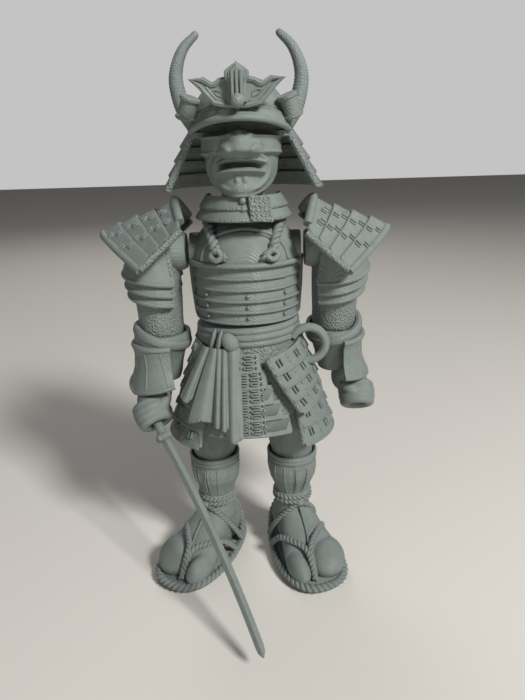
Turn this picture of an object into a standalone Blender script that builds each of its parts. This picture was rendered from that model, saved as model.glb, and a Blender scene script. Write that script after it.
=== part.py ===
"""Jointed samurai figurine, printed in place: turning head and waist, swinging arms and legs.

Sizes are millimetres and are turned to metres where a mesh is made. The front of the figure looks
along -Y, its left side is +X, and the soles stand on Z = 0. Each moving piece has its origin on its
joint, and is a child of the piece that carries it.
"""
import math

import bmesh
import bpy
from mathutils import Matrix, Vector

MM = 0.001

# Heights of the joints, from the floor up
SHIN_LENGTH = 57.0
THIGH_LENGTH = 33.0
HIP_TO_WAIST = 36.0
WAIST_TO_SHOULDER = 29.0
TORSO_HEIGHT = 42.0
UPPER_ARM_LENGTH = 38.0

# Places and angles of the pose
FRAME_BACK = 23.0
HIP_SPACING = 29.0
KNEE_SPACING = 38.0
SHOULDER_SPACING = 48.0
ARM_OUT = 15.0
ARM_SWING = {1: 8.0, -1: 0.0}
FOREARM_TURN = {1: 35.0, -1: 0.0}
FOOT_TURN = {1: 20.0, -1: -34.0}

# Joints: a post with a disc on its end, caught in a socket of the next piece
GAP = 0.4
SEAT_GAP = 0.35
NECK_POST, NECK_DISC = 5.0, 8.0
WAIST_POST, WAIST_DISC = 8.0, 12.0
SHOULDER_POST, SHOULDER_DISC = 3.6, 5.6
ELBOW_POST, ELBOW_DISC = 3.0, 5.0
HIP_POST, HIP_DISC = 3.2, 5.4
KNEE_POST, KNEE_DISC = 3.4, 6.0
DISC_THICKNESS = 3.6
NECK_POST_LENGTH = 8.0
WAIST_POST_LENGTH = 5.5
SHOULDER_POST_LENGTH = 3.6
ELBOW_POST_LENGTH = 7.5
HIP_POST_LENGTH = 5.4
KNEE_POST_LENGTH = 7.3

# Head
HELMET_HALF_WIDTH = 20.0
HELMET_HALF_DEPTH = 23.0
HELMET_EDGE = 33.0
HELMET_HEIGHT = 20.0
BRIM_REACH = 6.0
BRIM_RISE = 5.6
BRIM_THICKNESS = 1.8
NECK_GUARD_DROP = 21.5
NECK_GUARD_FLARE = 11.2
NECK_GUARD_PLATES = 4
HORN_BASE_RADIUS = 3.6
HORN_TIP_RADIUS = 1.4
HORN_RISE = 32.0
MASK_HALF_WIDTH = 15.0
MASK_FRONT = 21.5
COLLAR_DROP = 11.0
CREST_THICKNESS = 2.6

# Torso
CHEST_HALF_WIDTH = 24.8
CHEST_FLATNESS = 0.88
LAME_COUNT = 5
CHEST_RING = 25.0

# Belt and skirt
BELT_HALF_WIDTH = 22.8
BELT_FLATNESS = 0.86
BELT_HEIGHT = 10.0
SKIRT_TOP_WIDTH, SKIRT_TOP_DEPTH = 22.5, 19.5
SKIRT_FLARE_X, SKIRT_FLARE_Y = 0.335, 0.2
SKIRT_WALL = 1.6
FRONT_TIERS = 5
CORNER_TIERS = 4
SIDE_TIERS = 3
LOOP_RADIUS = 7.6
LOOP_TUBE = 1.9

# Arms
SHOULDER_PLATE_WALL = 2.0
SHOULDER_BANDS = 4
SLEEVE_RADIUS = 9.9
CUFF_RADIUS = 12.9
CUFF_WALL = 2.2
GUARD_WALL = 1.6
FIST_RING = 6.4
FIST_TUBE = 4.0
GRIP_RADIUS = 2.05
GRIP_GAP = 0.3
POMMEL_RADIUS = 2.6
BLADE_LENGTH = 97.0
BLADE_WIDTH = 4.9
BLADE_THICKNESS = 2.8
SWORD_LINE = (-0.44, -0.60, -0.69)
FIST_CENTRE = (5.4, -12.4, -33.0)

# Legs
THIGH_RADIUS = 10.9
KNEE_CUP_RADIUS = 12.2
KNEE_CUP_DEPTH = 3.7
ANKLE_RADIUS = 7.8
SOLE_THICKNESS = 4.0
SOLE_HALF_WIDTH = 17.0
TOE_REACH = 38.0
HEEL_REACH = 15.0
ROPE_RADIUS = 1.7

# Facets of round forms
ROUND = 16
SMALL_ROUND = 10

WAIST_HEIGHT = SHIN_LENGTH + THIGH_LENGTH + HIP_TO_WAIST


def collection(name):
    """Makes a collection in the scene."""
    made = bpy.data.collections.new(name)
    bpy.context.scene.collection.children.link(made)
    return made


def baked(obj):
    """Applies an object's modifiers and its place, and turns every face out."""
    bpy.context.view_layer.update()
    graph = bpy.context.evaluated_depsgraph_get()
    mesh = bpy.data.meshes.new_from_object(obj.evaluated_get(graph))
    mesh.transform(obj.matrix_world)
    shape = bmesh.new()
    shape.from_mesh(mesh)
    bmesh.ops.remove_doubles(shape, verts=shape.verts, dist=1e-6)
    bmesh.ops.recalc_face_normals(shape, faces=shape.faces)
    shape.to_mesh(mesh)
    shape.free()
    name = obj.name
    bpy.data.objects.remove(obj)
    solid = bpy.data.objects.new(name, mesh)
    shapes.objects.link(solid)
    return solid


def new_object(name, data, place=(0, 0, 0), turn=(0, 0, 0)):
    """Puts a mesh or a curve in the scene, at a place in millimetres and a turn in degrees."""
    obj = bpy.data.objects.new(name, data)
    obj.location = Vector(place) * MM
    obj.rotation_euler = [math.radians(angle) for angle in turn]
    shapes.objects.link(obj)
    return obj


def lathe(name, profile, place=(0, 0, 0), turn=(0, 0, 0), flatness=1.0, steps=ROUND):
    """A turned solid: the profile runs from the axis, down the outer side, and back to the axis."""
    mesh = bpy.data.meshes.new(name)
    points = [Vector((radius, 0, height)) * MM for radius, height in profile]
    mesh.from_pydata(points, [(i, i + 1) for i in range(len(points) - 1)], [])
    obj = new_object(name, mesh, place, turn)
    obj.scale = (1, flatness, 1)
    screw = obj.modifiers.new("turned", "SCREW")
    screw.steps = steps
    screw.render_steps = steps
    screw.use_merge_vertices = True
    screw.merge_threshold = 0.00001
    return baked(obj)


def ball(name, place, radii, turn=(0, 0, 0), detail=2):
    """A rounded lump with three radii."""
    shape = bmesh.new()
    bmesh.ops.create_icosphere(shape, subdivisions=detail, radius=MM)
    bmesh.ops.scale(shape, vec=radii, verts=shape.verts)
    mesh = bpy.data.meshes.new(name)
    shape.to_mesh(mesh)
    shape.free()
    return baked(new_object(name, mesh, place, turn))


def block(name, place, size, turn=(0, 0, 0), bevel=0.5):
    """A box with broken edges."""
    shape = bmesh.new()
    bmesh.ops.create_cube(shape, size=MM)
    bmesh.ops.scale(shape, vec=size, verts=shape.verts)
    mesh = bpy.data.meshes.new(name)
    shape.to_mesh(mesh)
    shape.free()
    obj = new_object(name, mesh, place, turn)
    if bevel:
        edge = obj.modifiers.new("edges", "BEVEL")
        edge.width = bevel * MM
        edge.segments = 1
    return baked(obj)


def smooth(points, spans=3):
    """Points of a smooth curve through the given ones."""
    given = [Vector(point) for point in points]
    ends = [given[0] * 2 - given[1]] + given + [given[-1] * 2 - given[-2]]
    curve = []
    for i in range(1, len(ends) - 2):
        a, b, c, d = ends[i - 1:i + 3]
        for step in range(spans):
            t = step / spans
            curve.append(0.5 * (2 * b + (c - a) * t + (2 * a - 5 * b + 4 * c - d) * t ** 2
                                + (3 * b - a - 3 * c + d) * t ** 3))
    return curve + [given[-1]]


def tube(name, points, radius, tip=None, closed=False, detail=1, turn=(0, 0, 0), place=(0, 0, 0)):
    """A round bar along the points, tapering from radius to tip where a tip is given."""
    curve = bpy.data.curves.new(name, "CURVE")
    curve.dimensions = "3D"
    curve.bevel_depth = radius * MM
    curve.bevel_resolution = detail
    curve.use_fill_caps = True
    spline = curve.splines.new("POLY")
    spline.points.add(len(points) - 1)
    spline.use_cyclic_u = closed
    for i, (point, place_of) in enumerate(zip(spline.points, points)):
        point.co = (*(Vector(place_of) * MM), 1)
        if tip is not None:
            share = i / (len(points) - 1)
            point.radius = 1 + (tip / radius - 1) * share
    return baked(new_object(name, curve, place, turn))


def loft(name, sections, closed=False):
    """Joins closed sections of equal point counts, with a face over each end."""
    mesh = bpy.data.meshes.new(name)
    count = len(sections[0])
    points = [Vector(point) * MM for section in sections for point in section]
    faces = []
    spans = len(sections) if closed else len(sections) - 1
    for i in range(spans):
        here = i * count
        there = (i + 1) % len(sections) * count
        for j in range(count):
            k = (j + 1) % count
            faces.append((here + j, here + k, there + k, there + j))
    if not closed:
        faces.append(tuple(range(count)))
        faces.append(tuple(range((len(sections) - 1) * count, len(sections) * count)))
    mesh.from_pydata(points, [], faces)
    return baked(new_object(name, mesh))


def sheet(name, rows, wall):
    """A curved plate through rows of points, thickened towards its back."""
    mesh = bpy.data.meshes.new(name)
    width = len(rows[0])
    points = [Vector(point) * MM for row in rows for point in row]
    faces = []
    for i in range(len(rows) - 1):
        for j in range(width - 1):
            corner = i * width + j
            faces.append((corner, corner + 1, corner + width + 1, corner + width))
    mesh.from_pydata(points, [], faces)
    obj = new_object(name, mesh)
    thick = obj.modifiers.new("wall", "SOLIDIFY")
    thick.thickness = wall * MM
    thick.offset = 0
    return baked(obj)


def flat_plate(name, outline, thickness, place):
    """An upright plate cut to an outline in X and Z."""
    curve = bpy.data.curves.new(name, "CURVE")
    curve.dimensions = "2D"
    curve.fill_mode = "BOTH"
    curve.extrude = thickness / 2 * MM
    spline = curve.splines.new("POLY")
    spline.points.add(len(outline) - 1)
    spline.use_cyclic_u = True
    for point, (across, up) in zip(spline.points, outline):
        point.co = (across * MM, up * MM, 0, 1)
    return baked(new_object(name, curve, place, (90, 0, 0)))


def post_profile(post, disc, length):
    """Profile of a post that starts at height 0 and ends below in a disc."""
    return [(0, 2), (post, 2), (post, -length), (disc, -length),
            (disc, -length - DISC_THICKNESS), (0, -length - DISC_THICKNESS)]


def socket_profile(post, disc, length):
    """Profile of the hollow that such a post turns in."""
    top = -length + GAP
    bottom = -length - DISC_THICKNESS - GAP
    return [(0, 3), (post + GAP, 3), (post + GAP, top), (disc + GAP, top), (disc + GAP, bottom),
            (0, bottom)]


def fuse(name, solids, cuts=(), mirrored=False, solver="EXACT"):
    """Unites overlapping solids in one closed body, and cuts its hollows."""
    base = solids[0]
    for operation, others in (("UNION", solids[1:]), ("DIFFERENCE", cuts)):
        for other in others:
            joint = base.modifiers.new(other.name, "BOOLEAN")
            joint.operation = operation
            joint.object = other
            joint.solver = solver
            other.hide_render = True
            other.display_type = "WIRE"
    bpy.context.view_layer.update()
    graph = bpy.context.evaluated_depsgraph_get()
    mesh = bpy.data.meshes.new_from_object(base.evaluated_get(graph))
    body = bmesh.new()
    body.from_mesh(mesh)
    bmesh.ops.triangulate(body, faces=body.faces)
    if mirrored:
        bmesh.ops.transform(body, matrix=Matrix.Scale(-1, 4, (1, 0, 0)), verts=body.verts)
        bmesh.ops.reverse_faces(body, faces=body.faces)
    body.to_mesh(mesh)
    body.free()
    for solid in [*solids, *cuts]:
        bpy.data.objects.remove(solid)
    mesh.name = name
    mesh.materials.clear()
    mesh.materials.append(filament)
    mesh.shade_smooth()
    mesh.set_sharp_from_angle(angle=math.radians(35))
    piece = bpy.data.objects.new(name, mesh)
    figurine.objects.link(piece)
    return piece


def place(piece, location, turn=(0, 0, 0), carrier=None):
    """Puts a piece's joint at its place on the piece that carries it."""
    piece.parent = carrier
    piece.location = Vector(location) * MM
    piece.rotation_euler = [math.radians(angle) for angle in turn]


def stepped_section(plates, drop, point, wall):
    """Section through overlapping plates: each one stands out over the one below it."""
    outer = []
    for k in range(plates):
        top = drop * k / plates
        bottom = drop * (k + 1) / plates
        outer += [point(top, 0.2), point(bottom, 1.4)]
    return outer + [point(drop, -wall), point(0, -wall)]


def helmet_bowl():
    """Rounded bowl, with its edge at HELMET_EDGE."""
    w, h, edge = HELMET_HALF_WIDTH, HELMET_HEIGHT, HELMET_EDGE
    shares = ((0, 1), (0.32, 0.97), (0.62, 0.84), (0.85, 0.58), (0.97, 0.27), (1, -0.08), (0, -0.08))
    profile = [(w * across, edge + h * up) for across, up in shares]
    return lathe("bowl", profile, flatness=HELMET_HALF_DEPTH / w)


def brim_edge(angle):
    """Outer edge of the brim at an angle from the front."""
    a = math.radians(angle)
    return Vector(((HELMET_HALF_WIDTH + 0.6) * math.sin(a),
                   -(HELMET_HALF_DEPTH + BRIM_REACH) * math.cos(a),
                   HELMET_EDGE + BRIM_RISE - 6 * (1 - math.cos(a))))


def brim():
    """Short peak over the eyes, with a rolled rim."""
    sections = []
    rim = []
    for i in range(9):
        angle = -62 + 124 * i / 8
        a = math.radians(angle)
        outer = brim_edge(angle)
        inner = Vector(((HELMET_HALF_WIDTH - 2) * math.sin(a), -(HELMET_HALF_DEPTH - 2) * math.cos(a),
                        outer.z + 2.5))
        half = Vector((0, 0, BRIM_THICKNESS / 2))
        sections.append([inner + half, outer + half, outer - half, inner - half])
        rim.append(outer)
    return [loft("brim", sections), tube("brim_rim", rim, 1.15)]


def neck_guard():
    """Flared guard of overlapping plates, open at the face."""
    sections = []
    for i in range(12):
        share = i / 11

        def point(drop, out, share=share):
            depth = drop / NECK_GUARD_DROP
            start = 64 + 9 * depth
            a = math.radians(start + (360 - 2 * start) * share)
            wide = HELMET_HALF_WIDTH - 0.2 + NECK_GUARD_FLARE * depth + out
            deep = HELMET_HALF_DEPTH - 0.2 + NECK_GUARD_FLARE * 0.72 * depth + out
            return (wide * math.sin(a), -deep * math.cos(a), HELMET_EDGE + 1 - drop)

        sections.append(stepped_section(NECK_GUARD_PLATES, NECK_GUARD_DROP, point, 1.2))
    return loft("neck_guard", sections)


def horns_and_rolls():
    """Curved horns that rise behind short rolled flaps."""
    made = []
    edge = HELMET_EDGE
    w = HELMET_HALF_WIDTH
    roll = [(0, 4.2), (3.9, 4.2), (3.3, 2.6), (3.3, -2.6), (3.9, -4.2), (0, -4.2)]
    for side in (1, -1):
        route = [(w - 2.6, -6, edge + 3), (w + 1.5, -5, edge + 9), (w + 3.8, -4, edge + HORN_RISE * 0.55),
                 (w + 3, -3, edge + HORN_RISE * 0.76), (w + 0.2, -2, edge + HORN_RISE * 0.94),
                 (w - 4.4, -1, edge + 2.8 + HORN_RISE)]
        route = [(side * x, y, z) for x, y, z in route]
        made.append(tube("horn", smooth(route, 2), HORN_BASE_RADIUS, HORN_TIP_RADIUS))
        made.append(lathe("roll", roll, (side * (w - 2), -12, edge + 8), (12, side * -20, 0),
                          steps=SMALL_ROUND))
    return made


def crest():
    """Winged plate on the front of the bowl, with a ribbed block in its middle."""
    half = [(0, -3.2), (4, -3), (8, -2.2), (10.3, 0.4), (12.6, 3), (15.4, 4.8), (11.5, 4.6),
            (8.6, 3.2), (6, 4.2), (3.8, 4.6)]
    outline = half + [(-x, z) for x, z in reversed(half[1:])]
    front = -(HELMET_HALF_DEPTH + BRIM_REACH) - 0.4
    middle = HELMET_EDGE + 11
    made = [flat_plate("wings", outline, CREST_THICKNESS, (0, front + 1.5, middle)),
            block("crest_block", (0, front, middle + 3.2), (7, 4.4, 12), bevel=1.2),
            block("crest_bracket", (0, front + 7.5, middle + 0.4), (6, 12, 6), bevel=0),
            ball("crest_boss", (0, front - 2, middle - 1.8), (2.4, 2, 2.2), detail=1)]
    for x in (-2.2, 0, 2.2):
        made.append(block("crest_rib", (x, front - 2.3, middle + 3), (0.9, 1.2, 9), bevel=0))
    slots = [ball("crest_slot", (side * 6.2, front, middle + 0.4), (1.1, 6, 2.1), (0, side * 28, 0),
                  detail=1)
             for side in (1, -1)]
    return made, slots


def mask():
    """Armour mask: cheeks, broad nose, open mouth with thick lips, and chin."""
    w, f = MASK_HALF_WIDTH, MASK_FRONT
    levels = [(8.6, 0.34, 0.84, 3), (10.2, 0.6, 0.95, 6), (13.5, 0.8, 1.02, 9), (18.5, 0.93, 1.02, 10),
              (24, 0.99, 1.0, 11), (30, 1.0, 0.95, 11), (37, 0.97, 0.9, 10)]
    sections = []
    for height, wide, deep, back in levels:
        ring = []
        for i in range(16):
            a = math.tau * i / 16
            across = math.copysign(abs(math.sin(a)) ** 0.85, math.sin(a))
            along = math.copysign(abs(math.cos(a)) ** 0.9, math.cos(a))
            ring.append((w * wide * across, -along * (f * deep if along > 0 else back), height))
        sections.append(ring)
    made = [loft("face", sections),
            ball("nose", (0, -f - 2.4, 26), (5.7, 4.2, 3.9)),
            ball("nose_bridge", (0, -f - 0.6, 30.2), (2.8, 2.6, 4), detail=1),
            ball("chin", (0, -f + 0.8, 12.4), (5.4, 2.6, 3.4))]
    lip = [(7.6, 2.6, -1.3), (4.6, -0.7, 0.5), (0, -1.8, 1.0), (-4.6, -0.7, 0.5), (-7.6, 2.6, -1.3)]
    made.append(tube("upper_lip", [(x, -f + y, 21.5 + z) for x, y, z in lip], 1.25))
    made.append(tube("lower_lip", [(x, -f + y - 0.2, 17.6 + z) for x, y, z in lip], 1.5))
    for side in (1, -1):
        made.append(ball("nostril", (side * 4.4, -f - 0.8, 25.3), (2.4, 2.4, 2.2), detail=1))
        made.append(ball("brow_knob", (side * 3.3, -f - 1, 31.6), (1.6, 1.6, 1.6), detail=1))
        made.append(ball("tuft", (side * 1.6, -f - 1.8, 13.2), (1, 1, 1.2), detail=1))
        cheek = [(4.5, -0.8, 28.4), (9, 1.3, 28.2), (13, 5, 27.2), (15, 11, 26.4)]
        made.append(tube("cheek", [(side * x, -f + y, z) for x, y, z in cheek], 2.2))
        fold = [(4, -1, 24.4), (7.4, 0.2, 23.4), (9.7, 2.4, 20), (9.6, 3.2, 15.6)]
        made.append(tube("mouth_fold", [(side * x, -f + y, z) for x, y, z in fold], 1.0))
    cuts = [block("mouth", (0, -f - 1, 20.1), (13, 6, 1.5), bevel=0)]
    cuts += [ball("eye", (side * 7.2, -f + 0.6, 32.6), (4.6, 2.6, 2), detail=1) for side in (1, -1)]
    return made, cuts


def throat_collar():
    """Banded collar that hangs from the mask, with a laced flap in front."""
    sections = []
    for i in range(10):
        angle = math.radians(-108 + 216 * i / 9)

        def point(drop, out, angle=angle):
            wide = 14.6 + 3.4 * drop / COLLAR_DROP + out
            deep = 18.6 + 2.6 * drop / COLLAR_DROP + out
            return (wide * math.sin(angle), -deep * math.cos(angle), 1.4 + COLLAR_DROP - drop)

        sections.append(stepped_section(2, COLLAR_DROP, point, 1.4))
    flap = block("collar_flap", (4.6, -21.2, 6.6), (7.5, 2.2, 9.5), (-12, 0, 12))
    neck = lathe("neck", [(0, 20), (9, 20), (9, SEAT_GAP), (0, SEAT_GAP)])
    return [loft("collar", sections), flap, neck]


def make_head():
    """Helmet, mask and collar in one piece, on the neck post."""
    wings, slots = crest()
    face, hollows = mask()
    post = lathe("neck_post", post_profile(NECK_POST, NECK_DISC, NECK_POST_LENGTH))
    solids = [helmet_bowl(), *brim(), neck_guard(), *horns_and_rolls(), *wings, *face,
              *throat_collar(), post]
    return fuse("head", solids, [*slots, *hollows], solver="MANIFOLD")


def torso_profile():
    """Outline of the cuirass: smooth chest, raised ring, and banded plates down to the waist."""
    w, top = CHEST_HALF_WIDTH, TORSO_HEIGHT
    profile = [(0, top), (0.42 * w, top), (0.58 * w, top - 1.5), (0.79 * w, top - 6),
               (0.91 * w, top - 11.5),
               (0.95 * w, CHEST_RING + 2), (w, CHEST_RING + 1.4), (w, CHEST_RING - 0.2),
               (0.945 * w, CHEST_RING - 0.8)]
    step = (CHEST_RING - 1.8) / LAME_COUNT
    for k in range(LAME_COUNT):
        start = CHEST_RING - 1 - step * k
        taper = w * (0.925 - 0.012 * k)
        profile += [(taper, start - 0.2), (taper + 0.9, start - step + 0.1)]
    return profile + [(0.86 * w, 0), (0, 0)]


def make_torso():
    """Cuirass with the neck, shoulder and waist sockets."""
    shell = lathe("cuirass", torso_profile(), flatness=CHEST_FLATNESS, steps=20)
    solids = [shell]
    depth = CHEST_HALF_WIDTH * CHEST_FLATNESS
    arch = [(10.5, -0.80 * depth, 28.5), (8.6, -0.80 * depth, 33), (4.6, -0.78 * depth, 36),
            (0, -0.77 * depth, 37)]
    route = arch + [(-x, y, z) for x, y, z in reversed(arch[:-1])]
    solids.append(tube("chest_arch", smooth(route, 1), 1.0))
    for side in (1, -1):
        cord = [(side * 15.2, -6, TORSO_HEIGHT - 3), (side * 13.8, -11.6, TORSO_HEIGHT - 4.4),
                (side * 12, -15.4, TORSO_HEIGHT - 8.5), (side * 11.2, -18.4, TORSO_HEIGHT - 13)]
        solids.append(tube("shoulder_cord", smooth(cord, 2), 1.8))
        solids.append(ball("cord_knot", (side * 10.6, -18.8, TORSO_HEIGHT - 11.5), (3.2, 2.2, 2.8),
                           detail=1))
        seam = [(side * 0.945 * CHEST_HALF_WIDTH, 0, 2), (side * 0.965 * CHEST_HALF_WIDTH, 0, CHEST_RING)]
        solids.append(tube("side_seam", seam, 1.5))
    cuts = [lathe("neck_socket", socket_profile(NECK_POST, NECK_DISC, NECK_POST_LENGTH),
                  (0, 0, TORSO_HEIGHT)),
            lathe("waist_socket", socket_profile(WAIST_POST, WAIST_DISC, WAIST_POST_LENGTH),
                  turn=(180, 0, 0))]
    for side in (1, -1):
        cuts.append(lathe("shoulder_socket", socket_profile(SHOULDER_POST, SHOULDER_DISC,
                                                            SHOULDER_POST_LENGTH),
                          (side * SHOULDER_SPACING / 2, 0, WAIST_TO_SHOULDER), (0, side * 90, 0), steps=12))
    return fuse("torso", solids, cuts)


def skirt_point(angle, height, out):
    """Point on the flared skirt, at an angle from the front and a height below the waist."""
    drop = -height - 9
    wide = SKIRT_TOP_WIDTH + SKIRT_FLARE_X * drop + out
    deep = SKIRT_TOP_DEPTH + SKIRT_FLARE_Y * drop + out
    a = math.radians(angle)
    return (wide * math.sin(a), -deep * math.cos(a), height)


def skirt_panel(name, top, bottom, angles_top, angles_bottom, tiers, out, count):
    """Hanging panel of overlapping tiers between two angles, which may widen downwards."""
    sections = []
    for i in range(count):
        share = i / (count - 1)

        def point(drop, lift, share=share):
            down = drop / (top - bottom)
            start = angles_top[0] + (angles_bottom[0] - angles_top[0]) * down
            end = angles_top[1] + (angles_bottom[1] - angles_top[1]) * down
            return skirt_point(start + (end - start) * share, top - drop, out + lift)

        sections.append(stepped_section(tiers, top - bottom, point, SKIRT_WALL))
    return loft(name, sections)


def skirt():
    """Inner skirt with its front, back, corner and side panels."""
    inner = []
    for i in range(ROUND):
        angle = 360 * i / ROUND
        inner.append([skirt_point(angle, -7, -0.4), skirt_point(angle, -40, -0.4),
                      skirt_point(angle, -40, -0.4 - SKIRT_WALL),
                      skirt_point(angle, -7, -0.4 - SKIRT_WALL)])
    made = [loft("inner_skirt", inner, closed=True)]
    for turn in (0, 180):
        made.append(skirt_panel("middle_panel", -11.5, -46, (turn - 13, turn + 13), (turn - 27, turn + 27),
                                FRONT_TIERS, 0.2, 4))
        for side in (1, -1):
            flip = side if turn == 0 else -side
            top = (turn + flip * 15, turn + flip * 72)
            low = (turn + flip * 36, turn + flip * 80)
            made.append(skirt_panel("corner_panel", -10, -34.5, top, low, CORNER_TIERS, 1.9, 5))
    for side in (1, -1):
        made.append(skirt_panel("side_panel", -28.8, -54, (side * 46, side * 134), (side * 42, side * 138),
                                SIDE_TIERS, 0.6, 6))
    return made


def sash():
    """Knot and hanging tails of the belt, at the figure's right of the middle."""
    made = [ball("knot", (-12.5, -20, -6.5), (4.4, 3.4, 5.2), (0, 30, 0), detail=1),
            tube("knot_loop", smooth([(-14.5, -18.5, -2), (-19, -17, -6), (-16, -18.5, -11)], 2), 1.7)]
    tails = [((-8.4, -20.1, -9.6), (-5.6, -30.1, -50.3), 3.4, 8.0),
             ((-11, -19.9, -9.2), (-13.9, -28.6, -48.2), 3.4, 6.6),
             ((-14.1, -19.3, -9.4), (-22.8, -24.9, -35.6), 3.8, 9.0),
             ((-17, -18.1, -9.1), (-28.5, -20.8, -33.8), 3.0, 4.6)]
    for head, foot, narrow, broad in tails:
        sections = []
        for share in (0, 0.5, 1):
            middle = Vector(head).lerp(Vector(foot), share)
            half = (narrow + (broad - narrow) * share) / 2
            crown = 1.4 + 0.9 * share
            sections.append([middle + Vector((-half, 1.6, 0)), middle + Vector((-half, 0, 0)),
                             middle + Vector((0, -crown, 0)), middle + Vector((half, 0, 0)),
                             middle + Vector((half, 1.6, 0))])
        made.append(loft("sash_tail", sections))
    return made


def waist_loop():
    """Open loop at the figure's left hip, where a scabbard would hang."""
    centre = Vector((26, -10, -11.5))
    arc_points = []
    for i in range(12):
        angle = math.radians(150 - 272 * i / 11)
        arc_points.append(centre + Vector((math.cos(angle), 0, math.sin(angle))) * LOOP_RADIUS)
    return tube("waist_loop", arc_points, LOOP_TUBE)


def make_hips():
    """Belt, skirt and hip bar, with the waist post on top."""
    w = BELT_HALF_WIDTH
    belt = [(0, -SEAT_GAP), (0.84 * w, -SEAT_GAP), (0.95 * w, -1.1), (w, -2.6), (0.95 * w, -4.0), (w, -5.5),
            (0.96 * w, -7.0), (0.99 * w, -8.6), (0.88 * w, -BELT_HEIGHT), (0, -BELT_HEIGHT)]
    web_half = HIP_SPACING / 2 - HIP_POST_LENGTH - 2.9
    bar = HIP_SPACING / 2
    hip_bar = [(0, bar), (HIP_DISC, bar), (HIP_DISC, bar - DISC_THICKNESS),
               (HIP_POST, bar - DISC_THICKNESS)]
    hip_bar += [(radius, -height) for radius, height in reversed(hip_bar)]
    solids = [lathe("belt", belt, flatness=BELT_FLATNESS),
              lathe("waist_post", post_profile(WAIST_POST, WAIST_DISC, WAIST_POST_LENGTH),
                    turn=(180, 0, 0)),
              block("hip_web", (0, 0, -HIP_TO_WAIST / 2 - 7), (2 * web_half, 17, HIP_TO_WAIST), bevel=2),
              lathe("hip_bar", hip_bar, (0, 0, -HIP_TO_WAIST), (0, 90, 0)), *skirt(), *sash(), waist_loop()]
    return fuse("hips", solids, solver="MANIFOLD")


def shoulder_plate():
    """Folded plate over the shoulder, in bands, with a rolled outer edge and a raised inner lip."""
    inner_top, outer_top = Vector((5.5, 0, 20.5)), Vector((36, 0, 9))
    inner_low, outer_low = Vector((2.2, -16, 9)), Vector((19.5, -21, -5))

    def arch(share, lift):
        top = inner_top.lerp(outer_top, share)
        low = inner_low.lerp(outer_low, share)
        points = []
        for i in range(7):
            across = -1 + i / 3
            bend = abs(across) ** 1.35
            point = top.lerp(low, bend)
            point.y = low.y * -across
            points.append(point + Vector((0.35, 0, 0.95)) * lift)
        return points

    rows = []
    for k in range(SHOULDER_BANDS):
        start = k / SHOULDER_BANDS
        rows.append(arch(start + 0.01, 0.9))
        rows.append(arch(start + 0.99 / SHOULDER_BANDS, 0.0))
    made = [sheet("shoulder_plate", rows, SHOULDER_PLATE_WALL),
            tube("plate_edge", arch(1, 0), 1.7), tube("plate_lip", arch(0, 0.85), 1.7)]
    for share_side in (0, -1):
        hem = [arch(share / 4, 0.2)[share_side] for share in range(5)]
        made.append(tube("plate_hem", hem, 1.2))
    return made


def make_upper_arm(side):
    """Shoulder plate, flared under-plates and sleeve, with the shoulder and elbow posts."""
    elbow = -UPPER_ARM_LENGTH
    sleeve = [(0, 16.8), (4, 15.2), (9, 8.5), (11.3, -2), (13, -11.5), (13, -12.6), (10.6, -13),
              (12.6, -20),
              (12.6, -21.2), (9.3, -21.6), (SLEEVE_RADIUS, -26), (SLEEVE_RADIUS, elbow + 8),
              (SLEEVE_RADIUS - 0.7, elbow + SEAT_GAP), (0, elbow + SEAT_GAP)]
    solids = [lathe("sleeve", sleeve, (ARM_OUT, 0, 0)),
              lathe("shoulder_hub", [(0, 0), (7.5, 0), (8.4, -2), (8.4, -13), (0, -13)], (1.4, 0, 0),
                    (0, -90, 0), steps=SMALL_ROUND),
              lathe("shoulder_post", post_profile(SHOULDER_POST, SHOULDER_DISC, SHOULDER_POST_LENGTH),
                    turn=(0, 90, 0), steps=12),
              lathe("elbow_post", post_profile(ELBOW_POST, ELBOW_DISC, ELBOW_POST_LENGTH),
                    (ARM_OUT, 0, elbow), steps=12),
              *shoulder_plate()]
    for drop, reach in ((-12, 12.8), (-20.8, 12.4)):
        corner = [(ARM_OUT - 9.5, -3, 4), (ARM_OUT - 9.6, -reach * 0.66, drop + 2.4),
                  (ARM_OUT - 9, -reach * 0.72, drop)]
        corner += [(ARM_OUT - 2, -reach, drop + 0.6)]
        solids.append(tube("under_plate_rim", corner, 1.3))
    return fuse(side_name("upper_arm", side), solids, mirrored=side < 0, solver="MANIFOLD")


def forearm_guard():
    """Flared guard on the outer front of the forearm, pointed at its lower edge."""
    rows = []
    for height, radius, dip in ((-2.4, 12.2, 0), (-7.5, 10.6, 0), (-13, 11.2, 0), (-19, 14.6, 2.6)):
        row = []
        for i in range(7):
            across = -1 + i / 3
            angle = math.radians(-38 + 78 * across)
            point = (radius * math.cos(angle), radius * math.sin(angle) - 0.6,
                     height - dip * (1 - abs(across)))
            row.append(point)
        rows.append(row)
    return [sheet("forearm_guard", rows, GUARD_WALL), tube("guard_hem", rows[-1], 1.1)]


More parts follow.
